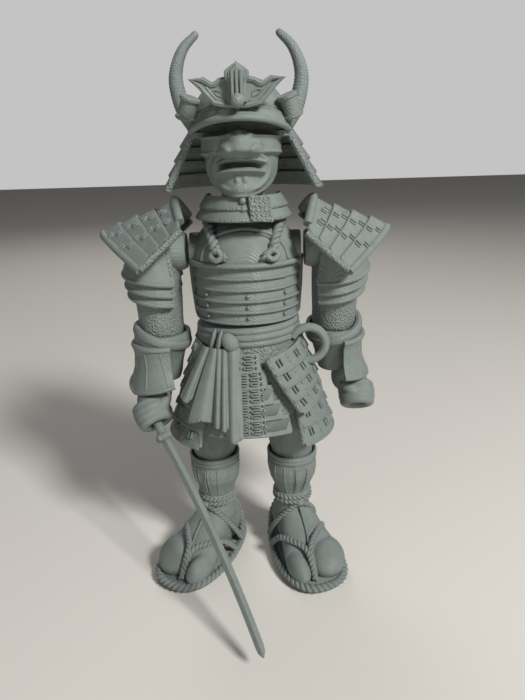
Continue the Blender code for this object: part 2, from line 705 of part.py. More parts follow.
def make_forearm(side):
    """Cuff, guard and closed fist, with the elbow socket and the hole of the fist."""
    inner = CUFF_RADIUS - CUFF_WALL
    cuff = [(0, 0), (inner, 0), (inner, 2.5), (CUFF_RADIUS - 0.4, 2.5), (CUFF_RADIUS, -1.5), (9.8, -7),
            (8.2, -13),
            (7.2, -19), (0, -20)]
    band = [(inner + 0.1, 1.8), (inner + 2.2, 1.8), (inner + 2.6, 0), (inner + 2.2, -1.8),
            (inner + 0.1, -1.8), (inner + 0.1, 1.8)]
    line = Vector(SWORD_LINE).normalized()
    tilt = Vector((0, 0, -1)).rotation_difference(line).to_euler()
    turn = [math.degrees(angle) for angle in tilt]
    ring = [(FIST_RING * math.cos(math.tau * i / 12), FIST_RING * math.sin(math.tau * i / 12),
             0) for i in range(12)]
    solids = [lathe("cuff", cuff), lathe("cuff_band", band, (0, 0, 0.6), (0, -14, 0)), *forearm_guard(),
              ball("palm", (3.9, -5.8, -24), (7.4, 7.4, 9.5)),
              tube("fist", ring, FIST_TUBE, closed=True, detail=2, turn=turn, place=FIST_CENTRE),
              ball("thumb", (FIST_CENTRE[0] - 4.5, FIST_CENTRE[1] + 0.5, FIST_CENTRE[2] + 6),
                   (3.2, 5.6, 3.2), (20, 0, 30), detail=1)]
    bore, mouth = GRIP_RADIUS + GRIP_GAP, POMMEL_RADIUS + 0.5
    hole = [(0, 26), (mouth, 26), (mouth, 10.6), (bore, 10.6), (bore, -26), (0, -26)]
    cuts = [lathe("grip_hole", hole, FIST_CENTRE, turn, steps=12),
            lathe("elbow_socket", socket_profile(ELBOW_POST, ELBOW_DISC, ELBOW_POST_LENGTH), steps=12)]
    return fuse(side_name("forearm", side), solids, cuts, mirrored=side < 0)


def make_sword():
    """Sword in one piece, with its grip through the fist and its blade running down and forward."""
    grip_top, guard = 12.0, -12.0
    shape = [(0, grip_top + 4), (POMMEL_RADIUS - 0.2, grip_top + 3.4), (POMMEL_RADIUS, grip_top),
             (GRIP_RADIUS, grip_top - 0.6),
             (GRIP_RADIUS, guard + 0.8), (4.6, guard + 0.7), (4.9, guard), (4.6, guard - 0.7),
             (1.6, guard - 1),
             (0, guard - 1)]
    sections = []
    for i in range(8):
        share = i / 7
        down = guard - 0.2 - BLADE_LENGTH * share
        half = BLADE_WIDTH / 2 * (1 - 0.22 * share) * (1 if i < 7 else 0.12)
        thick = BLADE_THICKNESS / 2 * (1 - 0.3 * share) * (1 if i < 7 else 0.3)
        bow = 2.2 * (share - share ** 2) * 2
        sections.append([(-half + bow, -thick * 0.35, down), (0.3 * half + bow, -thick, down),
                         (half + bow, -thick * 0.6, down),
                         (half + bow, thick * 0.6, down), (0.3 * half + bow, thick, down),
                         (-half + bow, thick * 0.35, down)])
    return fuse("sword", [lathe("hilt", shape, steps=SMALL_ROUND), loft("blade", sections)])


def ring_section(radius_x, radius_y, height, centre_x=0.0, count=ROUND, flute=0.0):
    """Level ring of points, fluted where alternate points are drawn in."""
    points = []
    for i in range(count):
        a = math.tau * i / count
        pull = 1 - flute * (i % 2)
        points.append((centre_x + radius_x * pull * math.cos(a), radius_y * pull * math.sin(a), height))
    return points


def make_thigh(side):
    """Thigh with the hip socket at its top and the knee post below."""
    shift = (KNEE_SPACING - HIP_SPACING) / 2
    knee = -THIGH_LENGTH
    r = THIGH_RADIUS
    levels = [(0, 0.72, 0.88, 0), (-10, 0.9, 0.94, 0.3), (-18, 0.99, 1.0, 0.6), (-26, 1.0, 1.0, 0.85),
              (knee + 1, 0.94, 0.94, 1), (knee - KNEE_CUP_DEPTH + SEAT_GAP, 0.9, 0.9, 1)]
    limb = [ring_section(r * wide, r * deep, height, shift * share) for height, wide, deep, share in levels]
    hub = [(0, 7.5), (8.6, 7.5), (9.8, 5.8), (9.8, -6.4), (8.6, -7.9), (0, -7.9)]
    bottom = knee - KNEE_CUP_DEPTH
    solids = [loft("thigh", limb), lathe("hip_hub", hub, turn=(0, 90, 0)),
              lathe("knee_post", post_profile(KNEE_POST, KNEE_DISC, KNEE_POST_LENGTH),
                    (shift, 0, bottom), steps=12)]
    socket = socket_profile(HIP_POST, HIP_DISC, HIP_POST_LENGTH)
    reach = HIP_POST_LENGTH + DISC_THICKNESS
    cuts = [lathe("hip_socket", socket, (-reach, 0, 0), (0, -90, 0), steps=ROUND)]
    return fuse(side_name("thigh", side), solids, cuts, mirrored=side < 0)


def sole_outline(grow, height):
    """Outline of the sandal, wide at the toes, as a level ring of points."""
    points = []
    for i in range(18):
        a = math.tau * i / 18
        along = math.cos(a)
        middle = (HEEL_REACH - TOE_REACH) / 2
        y = middle + along * ((HEEL_REACH + TOE_REACH) / 2 + grow)
        forward = (1 - along) / 2
        half = SOLE_HALF_WIDTH * (0.62 + 0.42 * forward) + grow
        x = math.copysign(abs(math.sin(a)) ** 0.8, math.sin(a)) * half
        points.append((x + 1.2 * forward, y, height))
    return points


def foot(floor):
    """Sandalled foot in a split-toe sock, with its ropes."""
    sections = []
    for y, half, top in ((12.5, 6, 15), (8, 8.8, 26), (0, 9.6, 31), (-7, 11, 27), (-14, 13, 21.5),
                         (-21, 15, 18.5),
                         (-28, 15.6, 16.5), (-33, 13, 12.5), (-36, 8, 8.5)):
        middle = 1.2 * (8 - y) / 44
        span = top - 1.5
        section = [(middle - half, 1.5), (middle - half, 1.5 + 0.4 * span),
                   (middle - 0.8 * half, 1.5 + 0.76 * span),
                   (middle - 0.4 * half, 1.5 + 0.95 * span), (middle, top),
                   (middle + 0.4 * half, 1.5 + 0.95 * span),
                   (middle + 0.8 * half, 1.5 + 0.76 * span), (middle + half, 1.5 + 0.4 * span),
                   (middle + half, 1.5)]
        sections.append([(x, y, floor + z) for x, z in section])
    made = [loft("sock", sections),
            loft("sole", [sole_outline(0, floor), sole_outline(0, floor + SOLE_THICKNESS)]),
            tube("sole_rope", sole_outline(0.3, floor + SOLE_THICKNESS - 0.2), ROPE_RADIUS, closed=True)]
    thong = (-3.4, -27, 17)
    ropes = [[thong, (-7.4, -19.5, 18.2), (-11, -12.5, 17), (-13, -4, 9)],
             [thong, (3, -22, 19), (9.6, -14, 18.4), (13.4, -5, 9)],
             [(-1, -8.6, 27.6), (-7, -6.4, 22.5), (-11, -2, 12)],
             [(1, -8.6, 27.6), (8, -6, 22), (12, -2, 12)]]
    for route in ropes:
        made.append(tube("sandal_rope", [(x, y, floor + z) for x, y, z in route], ROPE_RADIUS - 0.2))
    split = ball("toe_split", (-3.4, -36.5, floor + 13.5), (1.4, 9.5, 9))
    return made, split


def make_shin(side):
    """Knee cup, ribbed greave and sandalled foot, with the knee socket."""
    inner = KNEE_CUP_RADIUS - 1.3
    cup = [(0, -KNEE_CUP_DEPTH), (inner, -KNEE_CUP_DEPTH), (inner, 0), (KNEE_CUP_RADIUS - 0.5, 0.4),
           (KNEE_CUP_RADIUS, -0.6),
           (KNEE_CUP_RADIUS, -2), (KNEE_CUP_RADIUS - 0.8, -2.8), (KNEE_CUP_RADIUS - 0.8, -6), (0, -8)]
    levels = ((-4.4, 0.97), (-9, 0.96), (-16, 0.85), (-23, 0.7))
    greave = [ring_section(KNEE_CUP_RADIUS * share, KNEE_CUP_RADIUS * share, height, count=24, flute=0.045)
              for height, share in levels]
    floor = -SHIN_LENGTH
    ankle = [(0, -20), (ANKLE_RADIUS, -20), (ANKLE_RADIUS, -27), (ANKLE_RADIUS + 1.4, -36), (0, -38)]
    rope = [(8.9 * math.cos(math.tau * i / 12), 8.9 * math.sin(math.tau * i / 12),
             -25.2 + 0.6 * math.sin(math.tau * i / 12))
            for i in range(12)]
    shapes_of_foot, split = foot(floor)
    solids = [lathe("knee_cup", cup), loft("greave", greave), lathe("ankle", ankle, steps=12),
              tube("ankle_rope", rope, ROPE_RADIUS, closed=True), *shapes_of_foot]
    socket = lathe("knee_socket", socket_profile(KNEE_POST, KNEE_DISC, KNEE_POST_LENGTH),
                   (0, 0, -KNEE_CUP_DEPTH), steps=12)
    return fuse(side_name("shin", side), solids, [split, socket], mirrored=side < 0)


def side_name(name, side):
    """Names a piece by the figure's own side."""
    return name + ("_left" if side > 0 else "_right")


def filament_material():
    """Matt blue-grey filament."""
    material = bpy.data.materials.new("grey_filament")
    material.use_nodes = True
    shader = material.node_tree.nodes["Principled BSDF"]
    shader.inputs["Base Color"].default_value = (0.19, 0.22, 0.205, 1)
    shader.inputs["Roughness"].default_value = 0.5
    shader.inputs["Metallic"].default_value = 0.0
    return material


for old in list(bpy.data.objects):
    bpy.data.objects.remove(old)
figurine = collection("samurai_figurine")
shapes = collection("shapes_to_unite")
filament = filament_material()

hips = make_hips()
place(hips, (0, FRAME_BACK, WAIST_HEIGHT))
torso = make_torso()
place(torso, (0, 0, 0), carrier=hips)
head = make_head()
place(head, (0, 0, TORSO_HEIGHT), carrier=torso)
sword = make_sword()
for side in (1, -1):
    upper_arm = make_upper_arm(side)
    place(upper_arm, (side * SHOULDER_SPACING / 2, 0, WAIST_TO_SHOULDER), (ARM_SWING[side], 0, 0), torso)
    forearm = make_forearm(side)
    place(forearm, (side * ARM_OUT, 0, -UPPER_ARM_LENGTH), (0, 0, FOREARM_TURN[side]), upper_arm)
    thigh = make_thigh(side)
    place(thigh, (side * HIP_SPACING / 2, 0, -HIP_TO_WAIST), carrier=hips)
    shin = make_shin(side)
    knee_shift = side * (KNEE_SPACING - HIP_SPACING) / 2
    place(shin, (knee_shift, 0, -THIGH_LENGTH), (0, 0, FOOT_TURN[side]), thigh)
    if side < 0:
        line = Vector(SWORD_LINE).normalized()
        line.x = -line.x
        tilt = Vector((0, 0, -1)).rotation_difference(line).to_euler()
        centre = (-FIST_CENTRE[0], FIST_CENTRE[1], FIST_CENTRE[2])
        place(sword, centre, [math.degrees(angle) for angle in tilt], forearm)
bpy.data.collections.remove(shapes)
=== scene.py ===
import math

import bmesh
import bpy
from mathutils import Matrix, Vector


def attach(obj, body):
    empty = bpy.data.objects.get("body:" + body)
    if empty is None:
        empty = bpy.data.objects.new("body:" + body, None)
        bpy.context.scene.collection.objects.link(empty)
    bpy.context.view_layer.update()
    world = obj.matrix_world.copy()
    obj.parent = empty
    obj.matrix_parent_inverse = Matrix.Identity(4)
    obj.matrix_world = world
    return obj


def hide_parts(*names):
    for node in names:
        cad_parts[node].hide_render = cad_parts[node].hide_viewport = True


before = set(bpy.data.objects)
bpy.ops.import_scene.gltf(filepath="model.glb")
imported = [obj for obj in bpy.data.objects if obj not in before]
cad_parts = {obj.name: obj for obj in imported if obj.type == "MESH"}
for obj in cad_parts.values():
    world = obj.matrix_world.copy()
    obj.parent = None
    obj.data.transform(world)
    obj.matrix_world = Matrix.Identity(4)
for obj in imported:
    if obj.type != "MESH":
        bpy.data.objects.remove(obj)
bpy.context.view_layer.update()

# Shins and feet. Each is one printed piece: a knee cup with a double rim, a slatted greave, a
# rope-bound ankle and a straw sandal over a split-toe sock. All of it is matt blue-grey filament.
MM = 0.001
FILAMENT_COLOUR = (0.205, 0.235, 0.219, 1)
SHADE_COLOUR = (0.135, 0.158, 0.147, 1)
KNEES = {1: ((19.0, 23.0, 57.0), 20.0), -1: ((-19.0, 23.0, 57.0), -34.0)}
SOLE_LEVEL = -57.0
LAYER_PITCH = 0.3
LAYER_WANDER = 0.35
LAYER_DEPTH = 0.1
SHARP_ANGLE = 38


def layer_group():
    """Fine layer lines across the front-to-back direction, which wander a little."""
    group = bpy.data.node_groups.new("printed_layers", "ShaderNodeTree")
    group.interface.new_socket("Spacing", in_out="INPUT", socket_type="NodeSocketFloat")
    group.interface.new_socket("Wander", in_out="INPUT", socket_type="NodeSocketFloat")
    group.interface.new_socket("Height", in_out="OUTPUT", socket_type="NodeSocketFloat")
    group.interface.new_socket("Tone", in_out="OUTPUT", socket_type="NodeSocketFloat")
    nodes, links = group.nodes, group.links
    inputs, outputs = nodes.new("NodeGroupInput"), nodes.new("NodeGroupOutput")
    coords = nodes.new("ShaderNodeTexCoord")
    split = nodes.new("ShaderNodeSeparateXYZ")
    links.new(coords.outputs["Object"], split.inputs[0])
    drift = nodes.new("ShaderNodeTexNoise")
    drift.inputs["Scale"].default_value = 90
    links.new(coords.outputs["Object"], drift.inputs["Vector"])

    def reckon(operation, *feeds):
        """A maths node fed by sockets or by plain numbers."""
        node = nodes.new("ShaderNodeMath")
        node.operation = operation
        for socket, feed in zip(node.inputs, feeds):
            if isinstance(feed, float):
                socket.default_value = feed
            else:
                links.new(feed, socket)
        return node.outputs[0]

    wander = reckon("MULTIPLY", drift.outputs["Fac"], inputs.outputs["Wander"])
    layer = reckon("DIVIDE", reckon("ADD", split.outputs["Y"], wander), inputs.outputs["Spacing"])
    links.new(reckon("SINE", reckon("MULTIPLY", layer, math.tau)), outputs.inputs["Height"])
    patches = nodes.new("ShaderNodeTexNoise")
    patches.inputs["Scale"].default_value = 260
    patches.inputs["Detail"].default_value = 4
    links.new(coords.outputs["Object"], patches.inputs["Vector"])
    tone = nodes.new("ShaderNodeMapRange")
    tone.inputs["From Min"].default_value = 0.3
    tone.inputs["From Max"].default_value = 0.72
    links.new(patches.outputs["Fac"], tone.inputs["Value"])
    links.new(tone.outputs[0], outputs.inputs["Tone"])
    return group


printed_layers = layer_group()


def filament(name, grain, grain_depth, roughness):
    """Matt filament with layer lines, and a pitted grain where grain is a size in millimetres."""
    material = bpy.data.materials.new(name)
    material.use_nodes = True
    nodes, links = material.node_tree.nodes, material.node_tree.links
    shader = nodes["Principled BSDF"]
    shader.inputs["Specular IOR Level"].default_value = 0.42
    layers = nodes.new("ShaderNodeGroup")
    layers.node_tree = printed_layers
    layers.inputs["Spacing"].default_value = LAYER_PITCH * MM
    layers.inputs["Wander"].default_value = LAYER_WANDER * MM
    colour = nodes.new("ShaderNodeMix")
    colour.data_type = "RGBA"
    colour.inputs["A"].default_value = SHADE_COLOUR
    colour.inputs["B"].default_value = FILAMENT_COLOUR
    worn = nodes.new("ShaderNodeMapRange")
    worn.inputs["To Min"].default_value = 0.72
    worn.inputs["To Max"].default_value = 1.12
    worn.clamp = False
    links.new(layers.outputs["Tone"], worn.inputs["Value"])
    links.new(worn.outputs[0], colour.inputs["Factor"])
    colour.clamp_factor = False
    links.new(colour.outputs["Result"], shader.inputs["Base Color"])
    gloss = nodes.new("ShaderNodeMapRange")
    gloss.inputs["To Min"].default_value = roughness + 0.1
    gloss.inputs["To Max"].default_value = roughness - 0.07
    links.new(layers.outputs["Tone"], gloss.inputs["Value"])
    links.new(gloss.outputs[0], shader.inputs["Roughness"])
    lines = nodes.new("ShaderNodeBump")
    lines.inputs["Strength"].default_value = 0.6
    lines.inputs["Distance"].default_value = LAYER_DEPTH * MM
    links.new(layers.outputs["Height"], lines.inputs["Height"])
    last = lines
    if grain:
        coords = nodes.new("ShaderNodeTexCoord")
        pits = nodes.new("ShaderNodeTexVoronoi")
        pits.inputs["Scale"].default_value = 1 / (grain * MM)
        links.new(coords.outputs["Object"], pits.inputs["Vector"])
        stipple = nodes.new("ShaderNodeBump")
        stipple.inputs["Strength"].default_value = 1
        stipple.inputs["Distance"].default_value = grain_depth * MM
        links.new(pits.outputs["Distance"], stipple.inputs["Height"])
        links.new(lines.outputs["Normal"], stipple.inputs["Normal"])
        last = stipple
    links.new(last.outputs["Normal"], shader.inputs["Normal"])
    return material


smooth_filament = filament("smooth_filament", 0, 0, 0.5)
stippled_filament = filament("stippled_filament", 0.95, 0.5, 0.56)


def choose(*pieces):
    """Selects only these pieces, with the first of them active."""
    bpy.ops.object.select_all(action="DESELECT")
    for piece in pieces:
        piece.select_set(True)
    bpy.context.view_layer.objects.active = pieces[0]


def coat(piece, material=smooth_filament):
    """Gives a piece one material in place of any it had."""
    piece.data.materials.clear()
    piece.data.materials.append(material)


def mend(join=0, fill=0):
    """Joins near points or closes open ends of the active piece, and turns its faces outward."""
    bpy.ops.object.mode_set(mode="EDIT")
    bpy.ops.mesh.select_all(action="SELECT")
    if join:
        bpy.ops.mesh.remove_doubles(threshold=join)
    if fill:
        bpy.ops.mesh.fill_holes(sides=fill)
    bpy.ops.mesh.normals_make_consistent(inside=False)
    bpy.ops.object.mode_set(mode="OBJECT")


def as_mesh(name, curve):
    """A curve turned into a mesh piece."""
    piece = bpy.data.objects.new(name, curve)
    bpy.context.scene.collection.objects.link(piece)
    choose(piece)
    bpy.ops.object.convert(target="MESH")
    return bpy.context.object


def apply_all(piece):
    """Applies a piece's modifiers in their order."""
    choose(piece)
    for modifier in list(piece.modifiers):
        bpy.ops.object.modifier_apply(modifier=modifier.name)
    return piece


def surface(name, across, along, shape, wall=0.0, edge=0.0, material=smooth_filament):
    """A grid moved onto a surface. shape(u, v) gives millimetres for u and v from 0 to 1."""
    bpy.ops.object.select_all(action="DESELECT")
    bpy.ops.mesh.primitive_grid_add(x_subdivisions=across, y_subdivisions=along, size=1)
    piece = bpy.context.object
    piece.name = name
    for vert in piece.data.vertices:
        vert.co = Vector(shape(vert.co.x + 0.5, vert.co.y + 0.5)) * MM
    mend(join=0.02 * MM)
    if wall:
        shell = piece.modifiers.new("wall", "SOLIDIFY")
        shell.thickness = wall * MM
        shell.offset = 0
    if edge:
        round_off = piece.modifiers.new("edge", "BEVEL")
        round_off.width = edge * MM
        round_off.segments = 2
        round_off.limit_method = "ANGLE"
        round_off.angle_limit = math.radians(50)
    piece.data.materials.append(material)
    return apply_all(piece)


def between(table, t):
    """Reads a table of rows at t, where each row starts with its own t."""
    for low, high in zip(table, table[1:]):
        if t <= high[0]:
            break
    share = min(1, max(0, (t - low[0]) / (high[0] - low[0])))
    return [a + (b - a) * share for a, b in zip(low[1:], high[1:])]


def turned(name, profile, steps=64, flat=1.0, material=smooth_filament, edge=0.0):
    """A turned form: radii and heights from the axis down the outer side and back to the axis."""
    rows = [(i, *point) for i, point in enumerate(profile)]

    def shape(u, v):
        radius, height = between(rows, v * (len(rows) - 1))
        angle = math.tau * u
        return (radius * math.cos(angle), flat * radius * math.sin(angle), height)

    return surface(name, steps, len(rows) - 1, shape, edge=edge, material=material)


def flowing(points, spans=6, closed=False):
    """Points of a smooth curve through the given ones."""
    given = [Vector(point) for point in points]
    if closed:
        ends = [given[-1]] + given + given[:2]
    else:
        ends = [given[0] * 2 - given[1]] + given + [given[-1] * 2 - given[-2]]
    curve = []
    for i in range(1, len(ends) - 2):
        a, b, c, d = ends[i - 1:i + 3]
        for step in range(spans):
            t = step / spans
            curve.append(0.5 * (2 * b + (c - a) * t + (2 * a - 5 * b + 4 * c - d) * t ** 2
                                + (3 * b - a - 3 * c + d) * t ** 3))
    return curve if closed else curve + [given[-1]]


def bar(name, points, radius, radii=None, closed=False, sides=3, material=smooth_filament):
    """A round bar along the points, with a share of its radius for each point where radii is given."""
    curve = bpy.data.curves.new(name, "CURVE")
    curve.dimensions = "3D"
    curve.bevel_depth = radius * MM
    curve.bevel_resolution = sides
    curve.use_fill_caps = True
    spline = curve.splines.new("POLY")
    spline.points.add(len(points) - 1)
    spline.use_cyclic_u = closed
    for i, point in enumerate(points):
        spline.points[i].co = (*(Vector(point) * MM), 1)
        if radii:
            spline.points[i].radius = radii[i]
    piece = as_mesh(name, curve)
    mend(join=0.01 * MM)
    coat(piece, material)
    return piece


def circle(steps, radius, height, tilt=0.0):
    """Points round the upright axis, on a level or a tilted circle."""
    angles = [math.tau * i / steps for i in range(steps)]
    return [(radius * math.cos(a), radius * math.sin(a), height + tilt * math.sin(a)) for a in angles]


def rope(name, points, radius, pitch, closed=False):
    """Two strands laid round each other along a smooth curve."""
    path = flowing(points, 12, closed)
    length = sum((b - a).length for a, b in zip(path, path[1:]))
    laps = max(1, round(length / pitch))
    steps = laps * 9
    marks = [0]
    for a, b in zip(path, path[1:]):
        marks.append(marks[-1] + (b - a).length)
    strands = ([], [])
    side = None
    for i in range(steps + (0 if closed else 1)):
        at = marks[-1] * i / steps
        k = min(len(path) - 2, max(j for j, mark in enumerate(marks) if mark <= at + 1e-9))
        share = (at - marks[k]) / max(1e-9, marks[k + 1] - marks[k])
        centre = path[k].lerp(path[k + 1], min(1, share))
        along = (path[k + 1] - path[k]).normalized()
        if side is None or closed:
            side = Vector((0, 0, 1)) if abs(along.z) < 0.9 else Vector((1, 0, 0))
        side = (side - along * side.dot(along)).normalized()
        other = along.cross(side)
        angle = math.tau * laps * i / steps
        offset = (side * math.cos(angle) + other * math.sin(angle)) * radius * 0.52
        strands[0].append(centre + offset)
        strands[1].append(centre - offset)
    return [bar(name, strand, radius * 0.62, closed=closed, sides=2) for strand in strands]


def lump(name, place, radii, turn=(0, 0, 0), rings=14, material=smooth_filament):
    """A rounded lump with three radii, turned and set in place."""
    bpy.ops.object.select_all(action="DESELECT")
    bpy.ops.mesh.primitive_uv_sphere_add(segments=rings * 2, ring_count=rings, radius=MM)
    piece = bpy.context.object
    piece.name = name
    spin = Matrix.Identity(4)
    for angle, axis in zip(turn, "XYZ"):
        spin = Matrix.Rotation(math.radians(angle), 4, axis) @ spin
    piece.data.transform(Matrix.Translation(Vector(place) * MM) @ spin @ Matrix.Diagonal((*radii, 1)))
    piece.data.materials.append(material)
    return piece


def joined(name, pieces):
    """Joins pieces into one object."""
    choose(*pieces)
    if len(pieces) > 1:
        bpy.ops.object.join()
    pieces[0].name = name
    return pieces[0]


def melted(name, pieces, voxel, rounds):
    """Fuses closed forms into one skin and softens it."""
    piece = joined(name, pieces)
    skin = piece.modifiers.new("skin", "REMESH")
    skin.mode = "VOXEL"
    skin.voxel_size = voxel * MM
    soft = piece.modifiers.new("soft", "SMOOTH")
    soft.factor = 0.5
    soft.iterations = rounds
    apply_all(piece)
    coat(piece)
    return piece


def set_down(piece, body, place, turns=(), mirrored=False, nodes=()):
    """Puts a piece modelled round its joint in place, shades it and hangs it on its body."""
    if mirrored:
        piece.data.transform(Matrix.Scale(-1, 4, (1, 0, 0)))
        piece.data.flip_normals()
    move = Matrix.Identity(4)
    for matrix in turns:
        move = move @ matrix
    piece.data.transform(Matrix.Translation(Vector(place) * MM) @ move)
    choose(piece)
    bpy.ops.object.shade_smooth_by_angle(angle=math.radians(SHARP_ANGLE))
    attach(piece, body)
    if nodes:
        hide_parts(*nodes)
    return piece


def copied(piece, name):
    """A copy of a piece with its own mesh."""
    twin = piece.copy()
    twin.data = piece.data.copy()
    twin.name = name
    bpy.context.scene.collection.objects.link(twin)
    return twin


def make_greave():
    """Knee cup with a double rim, over a greave of upright slats."""
    cup = [(0, -3.75), (10.9, -3.75), (10.9, 0), (11.2, 0.35), (11.8, 0.3), (12.2, -0.4), (12.1, -1.3),
           (11.6, -1.8), (12.1, -2.3), (12.1, -3.0), (11.7, -3.5), (11.5, -4.6), (0, -4.6)]
    levels = [(0, 11.7, -4), (0.3, 11.9, -8.5), (0.6, 11.2, -13), (0.85, 9.0, -18.5), (1, 7.8, -23)]

    def slats(u, v):
        radius, height = between(levels, min(1, v / 0.96))
        if v > 0.97 or v < 0.01:
            radius = 0
        slat = u * 15 % 1
        radius += 0.32 * max(0, 1 - abs(slat - 0.5) / 0.07) if radius else 0
        angle = math.tau * u
        return (radius * math.cos(angle), radius * math.sin(angle), height)

    rims = [bar("greave_hem", circle(48, 8.2, -22.3), 0.6, closed=True)]
    panel = [(0, -11.9, -6), (-2.9, -11.7, -6.2), (-2.6, -11.6, -12), (-1.8, -9.6, -19)]
    for side in (1, -1):
        edge = flowing([(side * x, y, z) for x, y, z in panel], 5)
        rims.append(bar("greave_edge", edge, 0.35, sides=2))
    return [turned("knee_cup", cup, 72), surface("slats", 180, 26, slats), *rims]


def make_sandal():
    """Foot in a split-toe sock on a rope-edged sole, tied with twisted cord."""
    floor = SOLE_LEVEL
    form = [(0, 13.5, 0, 14), (0.05, 12.8, 5.4, 18), (0.16, 8, 8.7, 26.5), (0.32, 0.5, 9.2, 32),
            (0.48, -7, 10.2, 27), (0.64, -14, 12, 21.5), (0.8, -20.5, 13.6, 17.6),
            (0.93, -26, 12, 13.5), (1, -30, 0, 8)]

    def instep(u, v):
        y, half, top = between(form, v)
        angle = math.tau * u
        across, up = math.cos(angle), math.sin(angle)
        across = math.copysign(abs(across) ** 0.8, across)
        middle = 1.2 * (8 - y) / 44
        ridge = 0.5 * max(0, up) ** 10
        return (middle + half * across, y, floor + 1.5 + (top - 1.5) * (1 + up) / 2 + ridge)

    ankle = [(0, -19), (7.6, -19), (7.7, -24), (8.0, -28), (9.2, -35), (8, -42), (0, -42)]
    great_toe = lump("great_toe", (-8.4, -26.2, floor + 7.6), (4.9, 9.0, 6.6), (8, 0, 4), 18)
    toes = lump("toes", (6.2, -24.6, floor + 8.4), (9.8, 11.4, 8.2), (8, 0, -10), 18)
    foot_form = melted("foot", [surface("instep", 56, 48, instep), turned("ankle", ankle, 40), great_toe,
                                toes], 0.5, 3)

    def outline(grow, angle):
        along = math.cos(angle)
        forward = (1 - along) / 2
        half = 17 * (0.62 + 0.42 * forward) + grow
        x = math.copysign(abs(math.sin(angle)) ** 0.8, math.sin(angle)) * half
        return x + 1.2 * forward, -11.5 + along * (26.5 + grow)

    layers = [(0, -26, 0), (1, -0.5, 0), (2, 0, 0.4), (3, 0, 3.8), (4, -1, 4.4), (5, -26, 4.6)]

    def sole(u, v):
        grow, height = between(layers, v * 5)
        x, y = outline(max(grow, -11.5), math.tau * u)
        if grow < -20:
            x, y = 0.6, -11.5
        return (x, y, floor + height)

    edge = [(*outline(0.3, math.tau * i / 28), floor + 3.7) for i in range(28)]
    made = [foot_form, surface("sole", 84, 5, sole), *rope("sole_rope", edge, 1.75, 5.2, closed=True)]
    ties = [[(-3.5, -34.5, 5.5), (-3.6, -31, 12), (-4.2, -25.5, 16.6), (-8.8, -18.5, 17.4),
             (-12.2, -11.5, 15), (-13.8, -5, 7)],
            [(-3.3, -34.5, 5.5), (-3.0, -31, 12), (-1.6, -25.5, 17.4), (4.5, -19.5, 19.4),
             (10.6, -12.5, 16.8), (14, -5, 7)],
            [(-0.6, -8.2, 29.5), (-6, -6.6, 25.4), (-10.3, -2.6, 17.5), (-11.8, 3, 7)],
            [(0.6, -8.2, 29.5), (6.6, -6.6, 25.4), (10.8, -2.6, 17.5), (12.2, 3, 7)],
            [(11.4, 3, 7), (8.4, 8.4, 15), (3, 11.2, 21), (-3, 11.2, 21), (-8.4, 8.4, 15), (-11.4, 3, 7)]]
    for tie in ties:
        made += rope("tie", [(x, y, floor + z) for x, y, z in tie], 1.35, 4.4)
    for height, radius in ((31.2, 8.5), (33.4, 8.3)):
        made += rope("ankle_tie", circle(20, radius, floor + height), 1.35, 4.0, closed=True)
    made.append(lump("tie_knot", (0.4, -9.0, floor + 30.4), (2.2, 1.7, 1.8), rings=10))
    seam = [(0.2, -9.3, 28), (0.2, -13, 23.6), (-0.6, -19, 19.6), (-2.4, -25, 16.6)]
    made.append(bar("sock_seam", flowing([(x, y, floor + z) for x, y, z in seam], 6), 0.6, sides=2))
    return made


shin = joined("shin", make_greave() + make_sandal())
for side, word in ((1, "left"), (-1, "right")):
    spot, twist = KNEES[side]
    set_down(copied(shin, "shin_and_sandal_" + word), "shin_" + word, spot,
             [Matrix.Rotation(math.radians(twist), 4, "Z")], side < 0, ["shin_" + word])
bpy.data.objects.remove(shin)

# Thighs. Plain printed limbs with a few flat facets, which stand in the knee cups. Most of each is
# hidden by the skirt, so the solids keep their own shape and only take the filament's finish.
for word in ("left", "right"):
    coat(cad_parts["thigh_" + word])

# Belt and skirt. One printed piece that carries the legs: three rolled wraps of sash, a knot with
# pleated tails, a scabbard loop, and a skirt of laced plates in panels over a plain inner skirt.
WAIST = (0.0, 23.0, 126.0)
SKIRT_START = 9
SKIRT_WIDE, SKIRT_WIDE_FLARE = 22.5, 0.335
SKIRT_DEEP, SKIRT_DEEP_FLARE = 19.5, 0.2
BELT_RADIUS, BELT_FLAT = 21.3, 0.86
LOOP_PLACE, LOOP_REACH, LOOP_THICKNESS = (26, -10, -11.5), 7.6, 1.95


def skirt_place(angle, height, out):
    """A point on the flared skirt, at an angle from the front and a height below the waist."""
    drop = -height - SKIRT_START
    wide = SKIRT_WIDE + SKIRT_WIDE_FLARE * drop + out
    deep = SKIRT_DEEP + SKIRT_DEEP_FLARE * drop + out
    a = math.radians(angle)
    return Vector((wide * math.sin(a), -deep * math.cos(a), height))


def on_surface(shape, u, v):
    """Place and axes at a spot of a surface: x along u, y along v, z straight out."""
    here = Vector(shape(u, v))
    side = Vector(shape(min(1, u + 0.02), v)) - Vector(shape(max(0, u - 0.02), v))
    down = (Vector(shape(u, min(1, v + 0.02))) - Vector(shape(u, max(0, v - 0.02)))).normalized()
    side = (side - down * side.dot(down)).normalized()
    out = side.cross(down)
    turn = Matrix((side, down, out)).transposed().to_4x4()
    return Matrix.Translation(here * MM) @ turn


